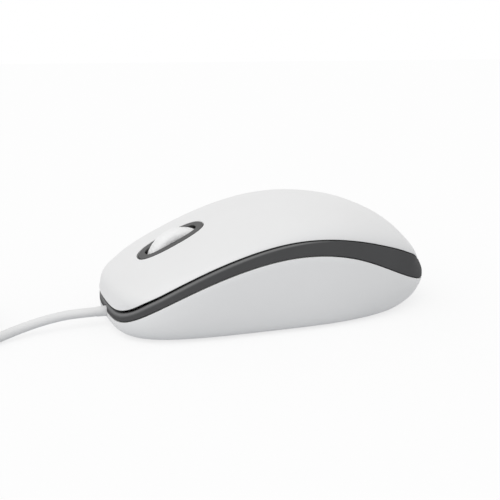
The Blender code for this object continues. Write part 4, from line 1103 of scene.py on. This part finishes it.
# The wheel's tilt follows the cover's slope at the wheel, measured over a short step to each side
WHEEL_TOP = float(cover_height(0.0, WHEEL_Y))
WHEEL_STEP = WHEEL_RADIUS / 4
WHEEL_FALL = float(cover_height(0.0, WHEEL_Y - WHEEL_STEP) - cover_height(0.0, WHEEL_Y + WHEEL_STEP))
TILT = atan(WHEEL_FALL / (2 * WHEEL_STEP))
TILT_COS, TILT_SIN = cos(TILT), sin(TILT)
UPRIGHT = np.array([0, TILT_SIN, TILT_COS])
AXLE_Y = WHEEL_Y - (WHEEL_RADIUS - WHEEL_RISE) * TILT_SIN
AXLE_Z = WHEEL_TOP - (WHEEL_RADIUS - WHEEL_RISE) * TILT_COS

SHELL = finish("white_shell", (0.80, 0.80, 0.80), 0.36, mottle=0.006)
# The band's lighter shoulder colour is a painted highlight
BAND = finish(
    "grey_band", (0.086, 0.086, 0.087), 0.6, mottle=0.05, bump=0.05, specular=0.02, painted_highlight=(0.21, 0.21, 0.21),
)
TRIM = finish("grey_trim", (0.080, 0.080, 0.080), 0.5, mottle=0.05, bump=0.05, specular=0.2)
RUBBER = finish("white_rubber", (0.84, 0.84, 0.84), 0.5, mottle=0.01, bump=0.04, depth=0.0025)
CORD = finish("white_cord", (0.80, 0.80, 0.80), 0.5, mottle=0.02, bump=0.05)
BLACK = finish("black_moulding", (0.02, 0.02, 0.02), 0.5, mottle=0.1, bump=0.05)
RED = finish("red_moulding", (0.45, 0.03, 0.02), 0.45, mottle=0.05)
CLEAR = finish("clear_moulding", (0.86, 0.90, 0.92), 0.1, mottle=0.01, clear=0.95)
LAMINATE = finish("green_laminate", (0.02, 0.16, 0.06), 0.5, mottle=0.1)
PAD = finish("slick_pad", (0.22, 0.22, 0.22), 0.35, mottle=0.05)
GOLD = finish("gold_plate", (0.70, 0.48, 0.18), 0.3, mottle=0.05, metallic=1.0)
STRAP = finish("woven_strap", (0.72, 0.72, 0.72), 0.7, grain=1400.0, mottle=0.06, bump=0.2)
STEEL = finish("steel", (0.60, 0.60, 0.62), 0.28, mottle=0.03, metallic=1.0)

NODE_FINISH = {
    CORD: ("strain_relief",),
    BLACK: (
        "wheel_carrier", "left_switch_case", "right_switch_case", "click_switch_case", "sensor_chip",
        "lamp_clip", "scroll_emitter", "scroll_detector", "capacitor", "inner_lead",
    ),
    RED: ("left_switch_plunger", "right_switch_plunger", "click_switch_plunger", "tracking_lamp"),
    CLEAR: ("sensor_lens",),
    LAMINATE: ("circuit_board",),
    PAD: ("front_foot", "rear_foot"),
    STEEL: ("carrier_pin", "case_screw"),
    RUBBER: ("wheel_hub", "lead_connector"),
}
for material, names in NODE_FINISH.items():
    for name in names:
        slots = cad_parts[name].data.materials
        slots.clear()
        slots.append(material)

build_cover_half(-1, "left")
build_cover_half(1, "right")
build_case()
build_band()
build_ring()
build_tyre()
build_cord([build_strap(), build_plug_grip(), build_plug_shell(), *build_plug_tongue()])
build_stage()
build_light()
build_camera()
